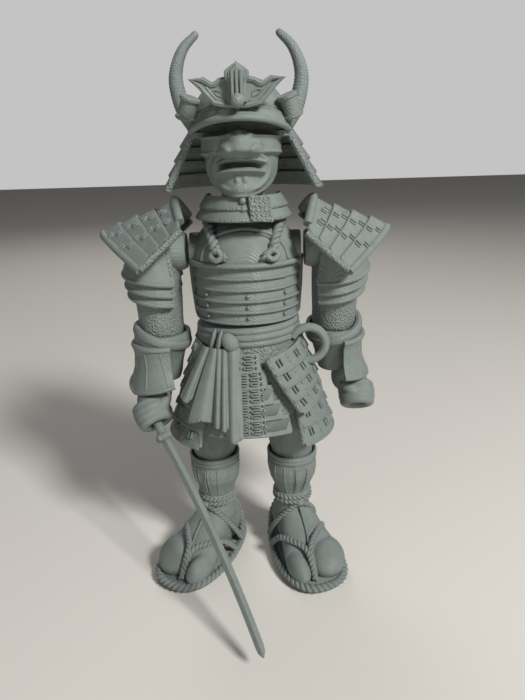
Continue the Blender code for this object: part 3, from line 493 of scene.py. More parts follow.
def dashes(name, places, size, material=smooth_filament):
    """Copies of one small rounded bar at many places, in one mesh."""
    bpy.ops.object.select_all(action="DESELECT")
    bpy.ops.mesh.primitive_cube_add(size=MM)
    master = bpy.context.object
    master.data.transform(Matrix.Diagonal((*size, 1)))
    round_off = master.modifiers.new("edge", "BEVEL")
    round_off.width = min(size) * 0.32 * MM
    round_off.segments = 1
    apply_all(master)
    mesh = bpy.data.meshes.new(name)
    heap = bmesh.new()
    for matrix in places:
        before = len(heap.verts)
        heap.from_mesh(master.data)
        heap.verts.ensure_lookup_table()
        bmesh.ops.transform(heap, matrix=matrix, verts=heap.verts[before:])
    bmesh.ops.recalc_face_normals(heap, faces=heap.faces)
    heap.to_mesh(mesh)
    heap.free()
    bpy.data.objects.remove(master)
    piece = bpy.data.objects.new(name, mesh)
    bpy.context.scene.collection.objects.link(piece)
    piece.data.materials.append(material)
    return piece


def tier_of(top, bottom, start, end, out, slope=0):
    """Surface of one plate of a panel, which stands out a little at its foot."""
    def shape(u, v):
        lift = out * (1 - 0.75 * u) + 0.2 + (1.7 - 0.7 * u) * v
        first, last = start[0] + (start[1] - start[0]) * v, end[0] + (end[1] - end[0]) * v
        return skirt_place(first + u * (last - first), top + (bottom - top) * v + slope * (u - 0.7), lift)
    return shape


def laced_panel(name, top, bottom, starts, ends, tiers, out, columns, seams, slope=0):
    """A hanging panel of overlapping plates, with rims, paired lacing and upright seams."""
    made = []
    pairs = []
    for k in range(tiers):
        high, low = k / tiers, (k + 1) / tiers
        start = [starts[0] + (starts[1] - starts[0]) * share for share in (high, low)]
        end = [ends[0] + (ends[1] - ends[0]) * share for share in (high, low)]
        shape = tier_of(top + (bottom - top) * high, top + (bottom - top) * low - 0.5, start, end, out,
                        slope)
        made.append(surface(name + "_plate", 30, 5, shape, wall=1.3, edge=0.25))
        made.append(bar(name + "_hem", [shape(i / 30, 1) for i in range(31)], 0.85, sides=2))
        for column in columns:
            for step in (-0.8, 0.8):
                pairs.append(on_surface(shape, column, 0.46) @ Matrix.Translation((step * MM, 0, 0)))
        for seam in seams:
            line = [shape(seam, v) for v in (0.06, 0.5, 0.94)]
            made.append(bar(name + "_seam", line, 0.95, [0.9, 1, 1], sides=1, material=stippled_filament))
    for u in (0.0, 1.0):
        rim = []
        for k in range(tiers * 4 + 1):
            share = k / (tiers * 4)
            start = starts[0] + (starts[1] - starts[0]) * share
            end = ends[0] + (ends[1] - ends[0]) * share
            rim.append(skirt_place(start + (end - start) * u,
                                   top + (bottom - top) * share + slope * (u - 0.7),
                                   out * (1 - 0.75 * u) + 0.9 - 0.5 * u))
        made.append(bar(name + "_rim", rim, 1.25, sides=2, material=stippled_filament))
    made.append(dashes(name + "_lacing", pairs, (0.8, 3.4, 3.9)))
    return made


def middle_panel(turn):
    """Front or back panel of five plates, each wider than the one above it, with close lacing."""
    made = []
    bars, dots, slants = [], [], []
    widths = (10.5, 14, 18.2, 23.4, 28.6)
    top, bottom = -11.5, -46.0
    for k, half in enumerate(widths):
        shape = tier_of(top + (bottom - top) * k / 5, top + (bottom - top) * (k + 1) / 5 - 0.4,
                        (turn - half, turn - half), (turn + half, turn + half), 0.3)
        made.append(surface("middle_plate", 24, 5, shape, wall=1.4, edge=0.3))
        made.append(bar("middle_hem", [shape(i / 24, 1) for i in range(25)], 0.8, sides=2))
        for step in range(6):
            v = 0.12 + 0.145 * step
            for centre in (-4.5, 4.5) if half > 13 else (0,):
                bars.append(on_surface(shape, 0.5 + centre / half / 2, v))
            for centre in (0, 9.0, -9.0) if half > 13 else (5.5, -5.5):
                if step % 2 == 0:
                    for nudge in (-0.75, 0.75):
                        spot = on_surface(shape, 0.5 + centre / half / 2, v + 0.07)
                        dots.append(spot @ Matrix.Translation((nudge * MM, 0, 0)))
        for u in (0.0, 1.0):
            made.append(bar("middle_side", [shape(u, i / 4) for i in range(5)], 0.75, sides=2))
        if half > 14:
            for step in range(int((half - 10) / 1.2)):
                for sign in (1, -1):
                    u = 0.5 + sign * (0.5 - (1.7 + 1.2 * step) / half / 2)
                    spot = on_surface(shape, u, 0.5)
                    slants.append(spot @ Matrix.Rotation(math.radians(35), 4, "Z"))
    made.append(dashes("ladder_lacing", bars, (3.2, 0.75, 3.5)))
    made.append(dashes("dot_lacing", dots, (0.95, 1.25, 3.6)))
    made.append(dashes("slanted_lacing", slants, (0.5, 5.2, 3.0)))
    return made


def make_skirt():
    """Inner skirt and its panels."""
    rows = [(0, -0.4, -6.5), (1, -0.4, -40), (2, -2.0, -40), (3, -2.0, -7.5), (4, -0.4, -6.5)]

    def inner(u, v):
        out, height = between(rows, v * 4)
        return skirt_place(360 * u, height, out)

    made = [surface("inner_skirt", 72, 4, inner, material=stippled_filament)]
    for turn in (0, 180):
        made += middle_panel(turn)
        for side in (1, -1):
            out = 3.3 if turn or side > 0 else 1.2
            made += laced_panel("corner", -10, -34.5, (turn + side * 16, turn + side * 37),
                                (turn + side * 71, turn + side * 79), 4, out, (0.15, 0.56, 0.88),
                                (0.34, 0.74), 4.6)
    for side in (1, -1):
        made += laced_panel("side", -29, -54, (side * 41, side * 38), (side * 137, side * 140), 3, -0.9,
                            (0.08, 0.28, 0.5, 0.72, 0.92), (0.18, 0.39, 0.61, 0.82))

    def web_side(u, v):
        x, y = math.cos(math.tau * u), math.sin(math.tau * u)
        return (6.2 * math.copysign(abs(x) ** 0.4, x), 8.5 * math.copysign(abs(y) ** 0.4, y), -8 - 34 * v)

    web = surface("hip_web", 32, 2, web_side, edge=0.4)
    mend(fill=64)
    bar_profile = [(0, 14.5), (5.4, 14.5), (5.4, 10.9), (3.2, 10.9), (3.2, -10.9), (5.4, -10.9),
                   (5.4, -14.5), (0, -14.5)]
    hip_bar = turned("hip_bar", bar_profile, 32)
    hip_bar.data.transform(Matrix.Translation((0, 0, -36 * MM))
                           @ Matrix.Rotation(math.radians(90), 4, "Y"))
    return made + [web, hip_bar]


def make_sash():
    """Wraps of the belt, its knot and the pleated tails."""
    core = [(0, -0.4), (19, -0.4), (21.4, -1.2), (21.7, -5), (21.4, -9.4), (20, -10.4), (0, -10.4)]
    made = [turned("belt_core", core, 72, BELT_FLAT),
            turned("waist_neck", [(0, 4), (8, 4), (8, -1), (0, -1)], 32)]
    for height, radius, dip in ((-2.7, 1.65, 0.9), (-5.4, 1.95, 0.8), (-8.1, 1.8, 0.5)):
        ring = []
        for i in range(72):
            a = math.tau * i / 72
            ring.append((BELT_RADIUS * math.cos(a), BELT_FLAT * BELT_RADIUS * math.sin(a) - 0.1,
                         height + dip * math.cos(a + 0.3)))
        made.append(bar("belt_wrap", ring, radius, closed=True, sides=4))
    made += [lump("knot_heart", (-7.4, -21.2, -6.0), (3.3, 2.8, 4.5), (0, -36, 0), 16),
             lump("knot_roll", (-11.8, -19.8, -5.5), (1.3, 2.7, 4.8), (0, 14, 0), 16),
             lump("knot_roll_outer", (-14.6, -18.4, -5.0), (1.2, 2.6, 4.6), (0, 16, 0), 16)]
    tails = [((-6.2, -20.8, -8.6), (-6.6, -30.8, -47), 4.6, 6.0, 1),
             ((-9.8, -20.4, -8.8), (-10.8, -29.4, -42), 2.4, 2.8, 1),
             ((-12.0, -20.0, -8.8), (-13.8, -28.2, -41), 2.4, 2.8, 1),
             ((-13.6, -19.6, -8.6), (-20.8, -26.0, -38), 3.0, 11.0, 0),
             ((-17, -18, -8.4), (-27, -21.4, -31.5), 2.8, 4.6, 1)]
    for head, foot, narrow, broad, folded in tails:
        head, foot = Vector(head), Vector(foot)

        def cloth(u, v, head=head, foot=foot, narrow=narrow, broad=broad, folded=folded):
            middle = head.lerp(foot, v)
            half = (narrow + (broad - narrow) * v) / 2
            across = (u - 0.5) * 2
            crown = (1.2 + 0.8 * v) * (1 - abs(across) ** 1.6)
            pleat = 0.5 * v * math.sin(across * math.pi * 1.5) * folded
            droop = 1.6 * v * v * abs(across) * (1 if folded else -1.2)
            return (middle.x + across * half, middle.y - crown + pleat, middle.z + droop)

        made.append(surface("sash_tail", 16, 26, cloth, wall=1.3, edge=0.3))
        for u in (0.0, 1.0):
            made.append(bar("tail_edge", [cloth(u, i / 16) for i in range(17)], 0.72, sides=2))
        made.append(bar("tail_hem", [cloth(i / 10, 0.995) for i in range(11)], 0.8, sides=2,
                        material=stippled_filament))
    return made


def make_loop():
    """Scabbard loop: a bent round bar that springs from the belt and comes back under it."""
    points = []
    x, y, z = LOOP_PLACE
    for i in range(40):
        angle = math.radians(152 - 276 * i / 39)
        points.append((x + LOOP_REACH * math.cos(angle), y, z + LOOP_REACH * math.sin(angle)))
    return bar("waist_loop", points, LOOP_THICKNESS, sides=5)


skirt = joined("skirt_and_belt", make_skirt() + make_sash() + [make_loop()])
set_down(skirt, "hips", WAIST, nodes=["hips"])

# Cuirass. A smooth chest with an arched moulding over banded plates, printed in one piece, with
# rivets on the bands, a raised ring round the chest, and a cord over each shoulder.
CHEST_FLAT = 0.88
BAND_TOP, BAND_PITCH, BAND_COUNT = 24.6, 4.66, 5
CHEST = [(0, 42), (9, 42), (11, 41.7), (14.4, 40.6), (17.6, 38.6), (19.8, 36), (21.5, 33), (22.7, 30),
         (23.4, 27), (23.5, 24.6)]


def chest_radius(height):
    """Radius of the cuirass at a height."""
    if height > BAND_TOP:
        rows = [(-z, r) for r, z in CHEST]
        return between(rows, -height)[0]
    return 23.1 - 0.055 * (BAND_TOP - height)


def on_chest(x, height, proud=0.0):
    """Point on the front of the cuirass."""
    radius = chest_radius(height)
    depth = math.sqrt(max(1.0, radius * radius - x * x))
    return Vector((x, -CHEST_FLAT * depth - proud, height))


def make_cuirass():
    """Chest, bands, mouldings, rivets and cords."""
    profile = list(CHEST)
    for k in range(BAND_COUNT):
        start = 24.2 - BAND_PITCH * k
        radius = chest_radius(start - 1)
        profile += [(radius - 0.5, start), (radius - 0.3, start - 2.4), (radius + 0.35, start - 4.1),
                    (radius + 0.3, start - 4.5)]
    profile += [(20.8, 0.6), (0, 0.6)]
    made = [turned("cuirass", profile, 96, CHEST_FLAT)]

    def ring(height, radius, grow, start=0, end=360, material=smooth_filament):
        points = []
        for i in range(73):
            a = math.radians(start + (end - start) * i / 72)
            r = chest_radius(height) + grow
            points.append((r * math.sin(a), -CHEST_FLAT * r * math.cos(a), height))
        whole = end - start == 360
        return bar("band_ridge", points[:-1] if whole else points, radius, closed=whole,
                   material=material)

    made.append(ring(25.4, 1.15, 0.3))
    for k in range(BAND_COUNT):
        height = 20.0 - BAND_PITCH * k
        if k < 2:
            made += [ring(height, 0.62, 0.3, -46, 46), ring(height, 0.62, 0.3, 134, 226)]
        else:
            made.append(ring(height, 0.72, 0.35))
    for k in range(1, 4):
        height = 17.6 - BAND_PITCH * k
        for angle in (-46, 2, 46, 134, 180, -134):
            a = math.radians(angle)
            r = chest_radius(height) + 0.35
            made.append(lump("rivet", (r * math.sin(a), -CHEST_FLAT * r * math.cos(a), height),
                             (0.85, 0.85, 0.85), rings=6))
    arch = [(17.6, 27), (16.2, 31.5), (12.6, 35.6), (7.2, 38.2), (0, 39.2)]
    arch += [(-x, z) for x, z in reversed(arch[:-1])]
    made.append(bar("chest_arch", flowing([on_chest(x, z, 0.1) for x, z in arch], 6), 0.9))
    notches = []
    for point in flowing([on_chest(x * 0.93, z - 1.3, 0.1) for x, z in arch], 10)[18:-18]:
        notches.append(Matrix.Translation(point * MM) @ Matrix.Rotation(math.radians(20), 4, "X"))
    made.append(dashes("arch_notches", notches, (0.5, 1.0, 0.9)))
    for side in (1, -1):
        cord = [(side * 15.6, 4, 41), (side * 15.4, -4, 41.4), (side * 14.2, -10.4, 39.6),
                (side * 12.8, -15, 36), (side * 11.4, -18.4, 31.6)]
        made += rope("shoulder_cord", cord, 1.9, 5.0)
        knot = [(side * 11.4, -18.8, 31.8), (side * 13.4, -18.8, 29.4), (side * 11.2, -20.6, 27.9),
                (side * 9.0, -20.6, 29.6), (side * 10.6, -19.6, 31.8)]
        made.append(bar("cord_loop", flowing(knot, 6), 1.15))
        tail = [(side * 10.4, -19.6, 30.8), (side * 8.4, -20.6, 30.2), (side * 7.4, -20.8, 28.2)]
        made += rope("cord_tail", tail, 1.1, 3.4)
        made.append(lump("cord_knot", (side * 11.2, -19, 31.4), (1.9, 1.5, 1.6), rings=9))
        back = [(side * 15.6, 4, 41), (side * 14.6, 11, 39.4), (side * 13, 15.6, 35),
                (side * 12, 18.4, 29.5)]
        made += rope("back_cord", back, 1.9, 5.0)
        seam = [(side * 23.3, 0, 25), (side * 22.8, 0, 13), (side * 21.9, 0, 1.5)]
        made.append(bar("side_seam", seam, 1.5))
        made.append(turned_hub(side))
    return made


def turned_hub(side):
    """Short boss that fills the arm hole."""
    hub = turned("arm_boss", [(0, 4), (7.4, 4), (7.6, 2.6), (7.6, -6), (0, -6)], 36)
    hub.data.transform(Matrix.Translation((side * 19.4 * MM, 0, 29 * MM))
                       @ Matrix.Rotation(math.radians(90 * side), 4, "Y"))
    return hub


set_down(joined("cuirass", make_cuirass()), "torso", WAIST, nodes=["torso"])

# Upper arms. One printed piece each: a folded shoulder plate in four laced bands with a raised
# inner lip, two flared plates nested under it, and a grainy sleeve that ends over the elbow.
SHOULDERS = {1: ((24.0, 23.0, 155.0), 8.0), -1: ((-24.0, 23.0, 155.0), 0.0)}
SLEEVE_OUT, SLEEVE_LENGTH = 15, 38
SHOULDER_BANDS = 4


def plate_shape(start, end, lift):
    """Surface of one band of the shoulder plate, folded over its ridge."""
    inner_top, outer_top = Vector((4.8, 0, 18.8)), Vector((35.6, 0, 8))
    inner_low, outer_low = Vector((0.6, -16, 10.6)), Vector((17.2, -21, -3.8))

    def shape(u, v):
        share = start + (end - start) * v
        across = (u - 0.5) * 2
        top, low = inner_top.lerp(outer_top, share), inner_low.lerp(outer_low, share)
        point = top.lerp(low, abs(across) ** 1.3)
        point.y = low.y * -across
        return point + Vector((0.35, 0, 0.95)) * (lift * (1 - v) + 0.2)

    return shape


def make_upper_arm():
    """Sleeve, nested plates and the laced shoulder plate."""
    sleeve = [(0, 16.6), (4, 15), (8.6, 8.5), (10.2, 0), (10.4, -12), (10.2, -22), (9.9, -28), (9.9, -34),
              (9.5, -36.6), (8.6, -37.6), (0, -37.6)]
    arm = turned("sleeve", sleeve, 56, material=stippled_filament)
    arm.data.transform(Matrix.Translation((SLEEVE_OUT * MM, 0, 0)))
    hub = turned("shoulder_hub", [(0, 0.2), (7.3, 0.2), (8.2, -1.6), (8.2, -13), (0, -13)], 40)
    hub.data.transform(Matrix.Translation((1.4 * MM, 0, 0)) @ Matrix.Rotation(math.radians(-90), 4, "Y"))
    made = [arm, hub]
    for top, bottom, wide, low in ((5, -12.6, 10.4, 14.0), (-4, -17.4, 10.4, 13.2),
                                   (-11, -21.8, 10.4, 12.4)):
        def skirt_of_arm(u, v, top=top, bottom=bottom, wide=wide, low=low):
            a = math.radians(-128 + 256 * u)
            bow = abs(u - 0.5) * 2
            radius = wide + (low - wide) * v ** 1.5
            return (SLEEVE_OUT + radius * math.cos(a), radius * math.sin(a) * 1.02,
                    top + (bottom + 4.5 * (1 - bow) - top) * v)
        made.append(surface("nested_plate", 60, 8, skirt_of_arm, wall=1.5, edge=0.3))
        made.append(bar("nested_hem", [skirt_of_arm(i / 60, 1) for i in range(61)], 1.1, sides=3))
        for u in (0.0, 1.0):
            made.append(bar("nested_rim", [skirt_of_arm(u, i / 8) for i in range(9)], 1.3, sides=3,
                            material=stippled_filament))
    pairs, seams = [], []
    for k in range(SHOULDER_BANDS):
        shape = plate_shape(k / SHOULDER_BANDS, (k + 1) / SHOULDER_BANDS - 0.012, 1.35)
        made.append(surface("shoulder_band", 36, 5, shape, wall=1.7, edge=0.3))
        for u in (0.17, 0.34, 0.66, 0.83):
            for step in (-0.65, 0.65):
                spot = on_surface(shape, u, 0.3) if k else on_surface(shape, u, 0.62)
                pairs.append(spot @ Matrix.Translation((step * MM, 0, 0)))
                spot = on_surface(shape, u + 0.04, 0.78)
                pairs.append(spot @ Matrix.Translation((step * MM, 0, 0)))
        made.append(bar("band_edge", [shape(i / 36, 0.04) for i in range(37)], 0.5, sides=2))
    made.append(dashes("shoulder_lacing", pairs, (0.8, 3.0, 3.0)))
    whole = plate_shape(0, 1, 0)
    made.append(bar("outer_edge", [Vector(whole(i / 40, 1)) + Vector((0.2, 0, -0.4)) for i in range(41)],
                    1.75, sides=4))
    for u in (0.0, 1.0):
        made.append(bar("fold_hem", [whole(u, i / 20) for i in range(21)], 1.5, sides=3,
                        material=stippled_filament))
    lip = []
    for i in range(33):
        u = 0.08 + 0.84 * i / 32
        rise = 2.2 * math.cos((u - 0.5) * math.pi / 0.9) ** 0.5 if abs(u - 0.5) < 0.44 else 0
        lip.append(Vector(whole(u, 0)) + Vector((-0.2, 0, 0.6 + rise * 0.6)))
    made.append(bar("raised_lip", lip, 1.9, sides=4))
    return made


upper_arm = joined("upper_arm", make_upper_arm())
for side, word in ((1, "left"), (-1, "right")):
    spot, swing = SHOULDERS[side]
    set_down(copied(upper_arm, "armoured_sleeve_" + word), "upper_arm_" + word, spot,
             [Matrix.Rotation(math.radians(swing), 4, "X")], side < 0, ["upper_arm_" + word])
bpy.data.objects.remove(upper_arm)

# Forearms. One printed piece each: an open cuff that turns round the sleeve's end, a tilted band,
# a guard plate with spreading ribs, and a closed fist with a hole through it for the sword.
GRIP_LINE = Vector((-0.44, -0.60, -0.69)).normalized()
FIST = Vector((5.4, -12.4, -33.0))
FOREARM_TURNS = {1: 35, -1: 0}


def make_forearm():
    """Cuff, guard plate and fist."""
    cuff = [(0, -0.1), (10.65, -0.1), (10.7, 2.4), (11.4, 2.7), (12.4, 2.5), (12.7, 1), (12.8, -1.5),
            (11.6, -4.2), (9.8, -7), (8.4, -12), (7.6, -17), (6.6, -20), (0, -20)]
    made = [turned("cuff", cuff, 64)]
    band = [(10.9, 2.0), (12.9, 2.2), (13.4, 1.2), (13.4, -0.8), (12.9, -1.9), (10.9, -1.9), (10.9, 2.0)]
    tilted = turned("cuff_band", band, 72, edge=0.3)
    tilted.data.transform(Matrix.Translation((0, 0, 0.6 * MM))
                          @ Matrix.Rotation(math.radians(-20), 4, "Y"))
    made.append(tilted)
    rows = [(0, 13.0, -2.2), (0.28, 12.2, -6.5), (0.6, 12.8, -12.5), (0.85, 14.8, -17), (1, 16.2, -19)]

    def guard(u, v):
        radius, height = between(rows, v)
        across = (u - 0.5) * 2
        a = math.radians(-38 + 74 * across)
        dip = 4.4 * v ** 3 * (1 - abs(across))
        return (radius * math.cos(a), radius * math.sin(a) - 0.6, height - dip)

    made.append(surface("guard", 48, 20, guard, wall=1.6, edge=0.3))
    made.append(bar("guard_hem", [guard(i / 48, 0.99) for i in range(49)], 1.15, sides=4))
    made.append(bar("guard_top", [guard(i / 48, 0.02) for i in range(49)], 1.3, sides=4))
    for u, foot in ((0.14, 0.06), (0.36, 0.32), (0.62, 0.66), (0.84, 0.92)):
        rib = [guard(u + (foot - u) * i / 12, 0.08 + 0.86 * i / 12) for i in range(13)]
        made.append(bar("guard_rib", rib, 1.05, sides=2))
    side = GRIP_LINE.cross(Vector((1, 0, 0))).normalized()
    across = GRIP_LINE.cross(side)
    hand = [lump("palm", (4.2, -5.8, -24.5), (7.0, 7.0, 9.4), (14, 0, 0), 20),
            lump("back_of_hand", (7.0, -8.8, -28), (5.8, 6.8, 6.8), (20, 0, 0), 18),
            lump("thumb", FIST + Vector((-5.2, -0.5, 5.4)), (2.9, 5.6, 2.9), (24, 0, 26), 14)]
    for k in range(4):
        centre = FIST + GRIP_LINE * (k * 2.5 - 3.75)
        reach = (6.1, 6.5, 6.4, 5.9)[k]
        finger = [centre + side * (reach * math.cos(math.tau * i / 32))
                  + across * (reach * math.sin(math.tau * i / 32)) for i in range(32)]
        hand.append(bar("finger", finger, 2.3, closed=True, sides=4))
    return made + [melted("fist", hand, 0.42, 7)]


forearm = joined("forearm", make_forearm())
for side, word in ((1, "left"), (-1, "right")):
    spot, swing = SHOULDERS[side]
    elbow = Vector((side * SLEEVE_OUT, 0, -SLEEVE_LENGTH))
    bend = Matrix.Rotation(math.radians(swing), 4, "X")
    turn = Matrix.Rotation(math.radians(FOREARM_TURNS[side]), 4, "Z")
    set_down(copied(forearm, "cuff_and_fist_" + word), "forearm_" + word, Vector(spot) + bend @ elbow,
             [bend, turn], side < 0, ["forearm_" + word])
bpy.data.objects.remove(forearm)

# Sword. One printed piece: a wrapped grip through the fist, a small knobbed guard under it, and a
# slim, slightly bowed blade with a ridge along each face and a blunt tip just above the floor.
GRIP_PLACE = (-44.4, 10.6, 84.0)
BLADE_TOP, BLADE_LENGTH, BLADE_BOW = -12.2, 97, 8
BLADE_HALF_WIDTH, BLADE_HALF_THICKNESS = 1.95, 1.4


def make_sword():
    """Grip, guard and blade along the grip's own axis."""
    hilt = [(0, 16), (1.6, 15.9), (2.3, 15.2), (2.5, 13.6), (2.4, 12.4), (2.0, 11.6), (2.0, -10.4),
            (2.8, -10.6), (3.2, -11.2), (3.3, -12.2), (3.1, -13.2), (2.4, -13.8), (0, -14)]
    made = [turned("hilt", hilt, 40)]
    for i in range(10):
        made.append(bar("grip_wrap", circle(20, 2.0, 10 - 2.1 * i, 0.5), 0.24, closed=True, sides=1))
    for place in circle(6, 2.5, -12.2):
        made.append(lump("guard_lobe", place, (1.3, 1.3, 1.5), rings=8))
    corners = [(-1, 0.2), (0.1, 1), (1, 0.3), (1, -0.3), (0.1, -1), (-1, -0.2)]

    def blade(u, v):
        share = min(1, v / 0.96)
        down = BLADE_TOP - BLADE_LENGTH * (share if v < 0.96 else 1)
        half = BLADE_HALF_WIDTH * (1 - 0.1 * share)
        thick = BLADE_HALF_THICKNESS * (1 - 0.2 * share)
        if share > 0.95:
            narrow = math.sqrt(max(0, 1 - ((share - 0.95) / 0.05) ** 2))
            half *= 0.15 + 0.85 * narrow
            thick *= 0.4 + 0.6 * narrow
        bow = BLADE_BOW * (share - share ** 2)
        x, y = corners[round(u * 6) % 6]
        if v > 0.985 or v < 0.001:
            return (bow, 0, down)
        return (x * half + bow, -y * thick, down)

    return made + [surface("blade", 6, 50, blade)]


sword_line = GRIP_LINE.copy()
sword_line.x = -sword_line.x
tilt = Vector((0, 0, -1)).rotation_difference(sword_line).to_matrix().to_4x4()
set_down(joined("lowered_sword", make_sword()), "forearm_right", GRIP_PLACE, [tilt], nodes=["sword"])

# Head. One printed piece: a round helmet with a short brim, a winged crest, curved horns behind
# short rolled flaps and a flared neck guard of grainy plates, over an armour mask and its collar.
NECK = (0.0, 23.0, 168.0)
EDGE = 33.0
BOWL_WIDE, BOWL_DEEP = 20, 23
HORN_RADIUS = 3.6
GUARD_DROP, GUARD_PLATES = 21.5, 4
MASK_FOOT, MASK_HEIGHT = 8, 30
MASK_WIDE, MASK_DEEP = 15, 21.4


def make_helmet():
    """Bowl, brim, flaps and horns."""
    rows = [(0, 1), (0.32, 0.97), (0.62, 0.84), (0.85, 0.58), (0.97, 0.27), (1.01, 0.02), (1.06, 0.0),
            (1.06, -0.09), (0, -0.09)]
    fine = flowing([(BOWL_WIDE * r, 0, EDGE + BOWL_WIDE * z) for r, z in rows[:6]], 6)
    profile = [(max(0, p.x), p.z) for p in fine] + [(BOWL_WIDE * r, EDGE + BOWL_WIDE * z)
                                                    for r, z in rows[6:]]
    bowl = turned("bowl", profile, 96, BOWL_DEEP / BOWL_WIDE)
    for vert in bowl.data.vertices:
        depth = min(1, max(0, (EDGE + 7 - vert.co.z / MM) / 2)) * max(0, 1 - (vert.co.x / MM / 17) ** 4)
        if vert.co.y < 0:
            vert.co.y *= 1 - 0.5 * depth
    made = [bowl]

    def brim(u, v):
        a = math.radians(-64 + 128 * u)
        outer = Vector((20.6 * math.sin(a), -29 * math.cos(a), EDGE + 3.9 - 6 * (1 - math.cos(a))))
        inner = Vector((18.5 * math.sin(a), -21.0 * math.cos(a), outer.z + 4.6))
        point = inner.lerp(outer, v)
        point.z += 0.9 * math.sin(math.pi * v)
        return point

    made.append(surface("brim", 60, 10, brim, wall=1.5))
    made.append(bar("brim_rim", [brim(i / 60, 1) for i in range(61)], 1.2, sides=4))
    made.append(bar("brim_step", [Vector(brim(i / 60, 0.45)) + Vector((0, 0, 0.5)) for i in range(61)],
                    0.8, sides=3, material=stippled_filament))
    made.append(bar("bowl_foot", [Vector(brim(i / 60, 0.06)) + Vector((0, 0, 0.6)) for i in range(61)],
                    1.3, sides=3, material=stippled_filament))
    for u in (0.16, 0.33, 0.5, 0.67, 0.84):
        made.append(lump("brim_rivet", Vector(brim(u, 0.7)) + Vector((0, 0, 0.5)), (0.9, 0.9, 0.8),
                         rings=7))
    for side in (1, -1):
        roll = [(0, 4.2), (3.4, 4.2), (3.9, 3.8), (3.9, 3.0), (3.3, 2.5), (3.15, 0), (3.3, -2.5),
                (3.9, -3.0), (3.9, -3.8), (3.4, -4.2), (0, -4.2)]
        flap = turned("rolled_flap", roll, 36)
        flap.data.transform(Matrix.Translation((side * 18.8 * MM, -15 * MM, (EDGE + 8.2) * MM))
                            @ Matrix.Rotation(math.radians(side * -20), 4, "Y")
                            @ Matrix.Rotation(math.radians(12), 4, "X"))
        made.append(flap)
        route = [(17.4, -6, EDGE + 3), (21.5, -5, EDGE + 9), (23.8, -4, EDGE + 17.6),
                 (23, -3, EDGE + 24.3), (20.2, -2, EDGE + 30.1), (15.8, -1, EDGE + 34.4)]
        path = flowing([(side * x, y, z) for x, y, z in route], 22)
        count = len(path) - 1
        radii = [(1 - 0.62 * (i / count) ** 1.1) * (1.035 if i % 3 == 0 else 0.985)
                 for i in range(count + 1)]
        made.append(bar("horn", path, HORN_RADIUS, radii, sides=5))
        made.append(lump("horn_tip", path[-1], (1.35, 1.35, 1.35), rings=8))
    return made


def make_crest():
    """Winged plate with a raised rim and slots, round a ribbed block with a boss."""
    outline = [(0, -3.4), (4, -3.2), (8, -2.3), (10.3, 0.2), (12.6, 2.8), (15.6, 4.8), (11.5, 4.8),
               (8.8, 3.2), (7.4, 3.4), (6, 4.4), (3.8, 4.8)]
    whole = outline + [(-x, z) for x, z in reversed(outline[1:])]
    slot = [(5.0, -0.8), (6.8, -0.2), (8.4, 1.4), (6.8, 1.5), (5.2, 0.7)]
    curve = bpy.data.curves.new("wings", "CURVE")
    curve.dimensions = "2D"
    curve.fill_mode = "BOTH"
    curve.extrude = 0.85 * MM
    curve.bevel_depth = 0.3 * MM
    curve.bevel_resolution = 1
    for loop in (whole, slot, [(-x, z) for x, z in slot]):
        spline = curve.splines.new("POLY")
        spline.points.add(len(loop) - 1)
        spline.use_cyclic_u = True
        for point, (x, z) in zip(spline.points, loop):
            point.co = (x * MM, z * MM, 0, 1)
    wings = as_mesh("wings", curve)
    front, middle = -29.4, EDGE + 11
    wings.data.transform(Matrix.Translation((0, (front + 2.0) * MM, middle * MM))
                         @ Matrix.Rotation(math.radians(90), 4, "X"))
    coat(wings)
    made = [wings]

    def lifted(points, proud):
        return [(x, front + 0.9 - proud, middle + z) for x, z in points]

    made.append(bar("wing_rim", lifted(whole, 0), 0.95, closed=True, sides=2))
    for side in (1, -1):
        made.append(bar("slot_rim", lifted([(side * x, z) for x, z in slot], -0.2), 0.5, closed=True,
                        sides=2))
        scroll = [(4.2, -2.0), (6.6, -1.6), (8.8, 0.4), (10.6, 2.6)]
        made.append(bar("wing_scroll", flowing(lifted([(side * x, z) for x, z in scroll], -0.2), 5), 0.6,
                        sides=2))
    for width, depth, low, high in ((7.4, 4.4, -2.8, 8.6), (5.0, 5.6, -2.4, 8.2)):
        def block(u, v, width=width, depth=depth, low=low, high=high):
            a = math.tau * u
            x = width / 2 * max(-1, min(1, 1.35 * math.cos(a)))
            y = depth / 2 * max(-1, min(1, 1.35 * math.sin(a)))
            rise = [(0, 0, low), (0.02, 0.9, low), (0.5, 0.9, high - 5), (0.66, 1.12, high - 3.4),
                    (0.86, 1.12, high - 1.6), (0.98, 0.6, high), (1, 0, high)]
            share, z = between(rise, v)
            peak = 1.6 * (1 - abs(x) / (width / 2)) if v > 0.8 else 0
            return (x * share, front + 0.6 + y * share, middle + z + peak)
        made.append(surface("crest_block", 32, 20, block))
    for x in (-1.5, 0, 1.5):
        made.append(bar("block_rib", [(x, front - 2.6, middle - 1.6), (x, front - 2.6, middle + 7)], 0.55,
                        sides=2))
    made.append(lump("crest_boss", (0, front - 2.2, middle - 2.0), (2.5, 2.0, 2.3), rings=14))

    def stem(u, v):
        open_end = 0 if v in (0, 1) else 1
        return (3 * math.cos(math.tau * u) * open_end,
                front + 1 + (15 * min(1, max(0, (v - 0.01) / 0.98))),
                middle - 0.5 + 3.4 * math.sin(math.tau * u) * open_end)

    return made + [surface("crest_stem", 24, 3, stem)]


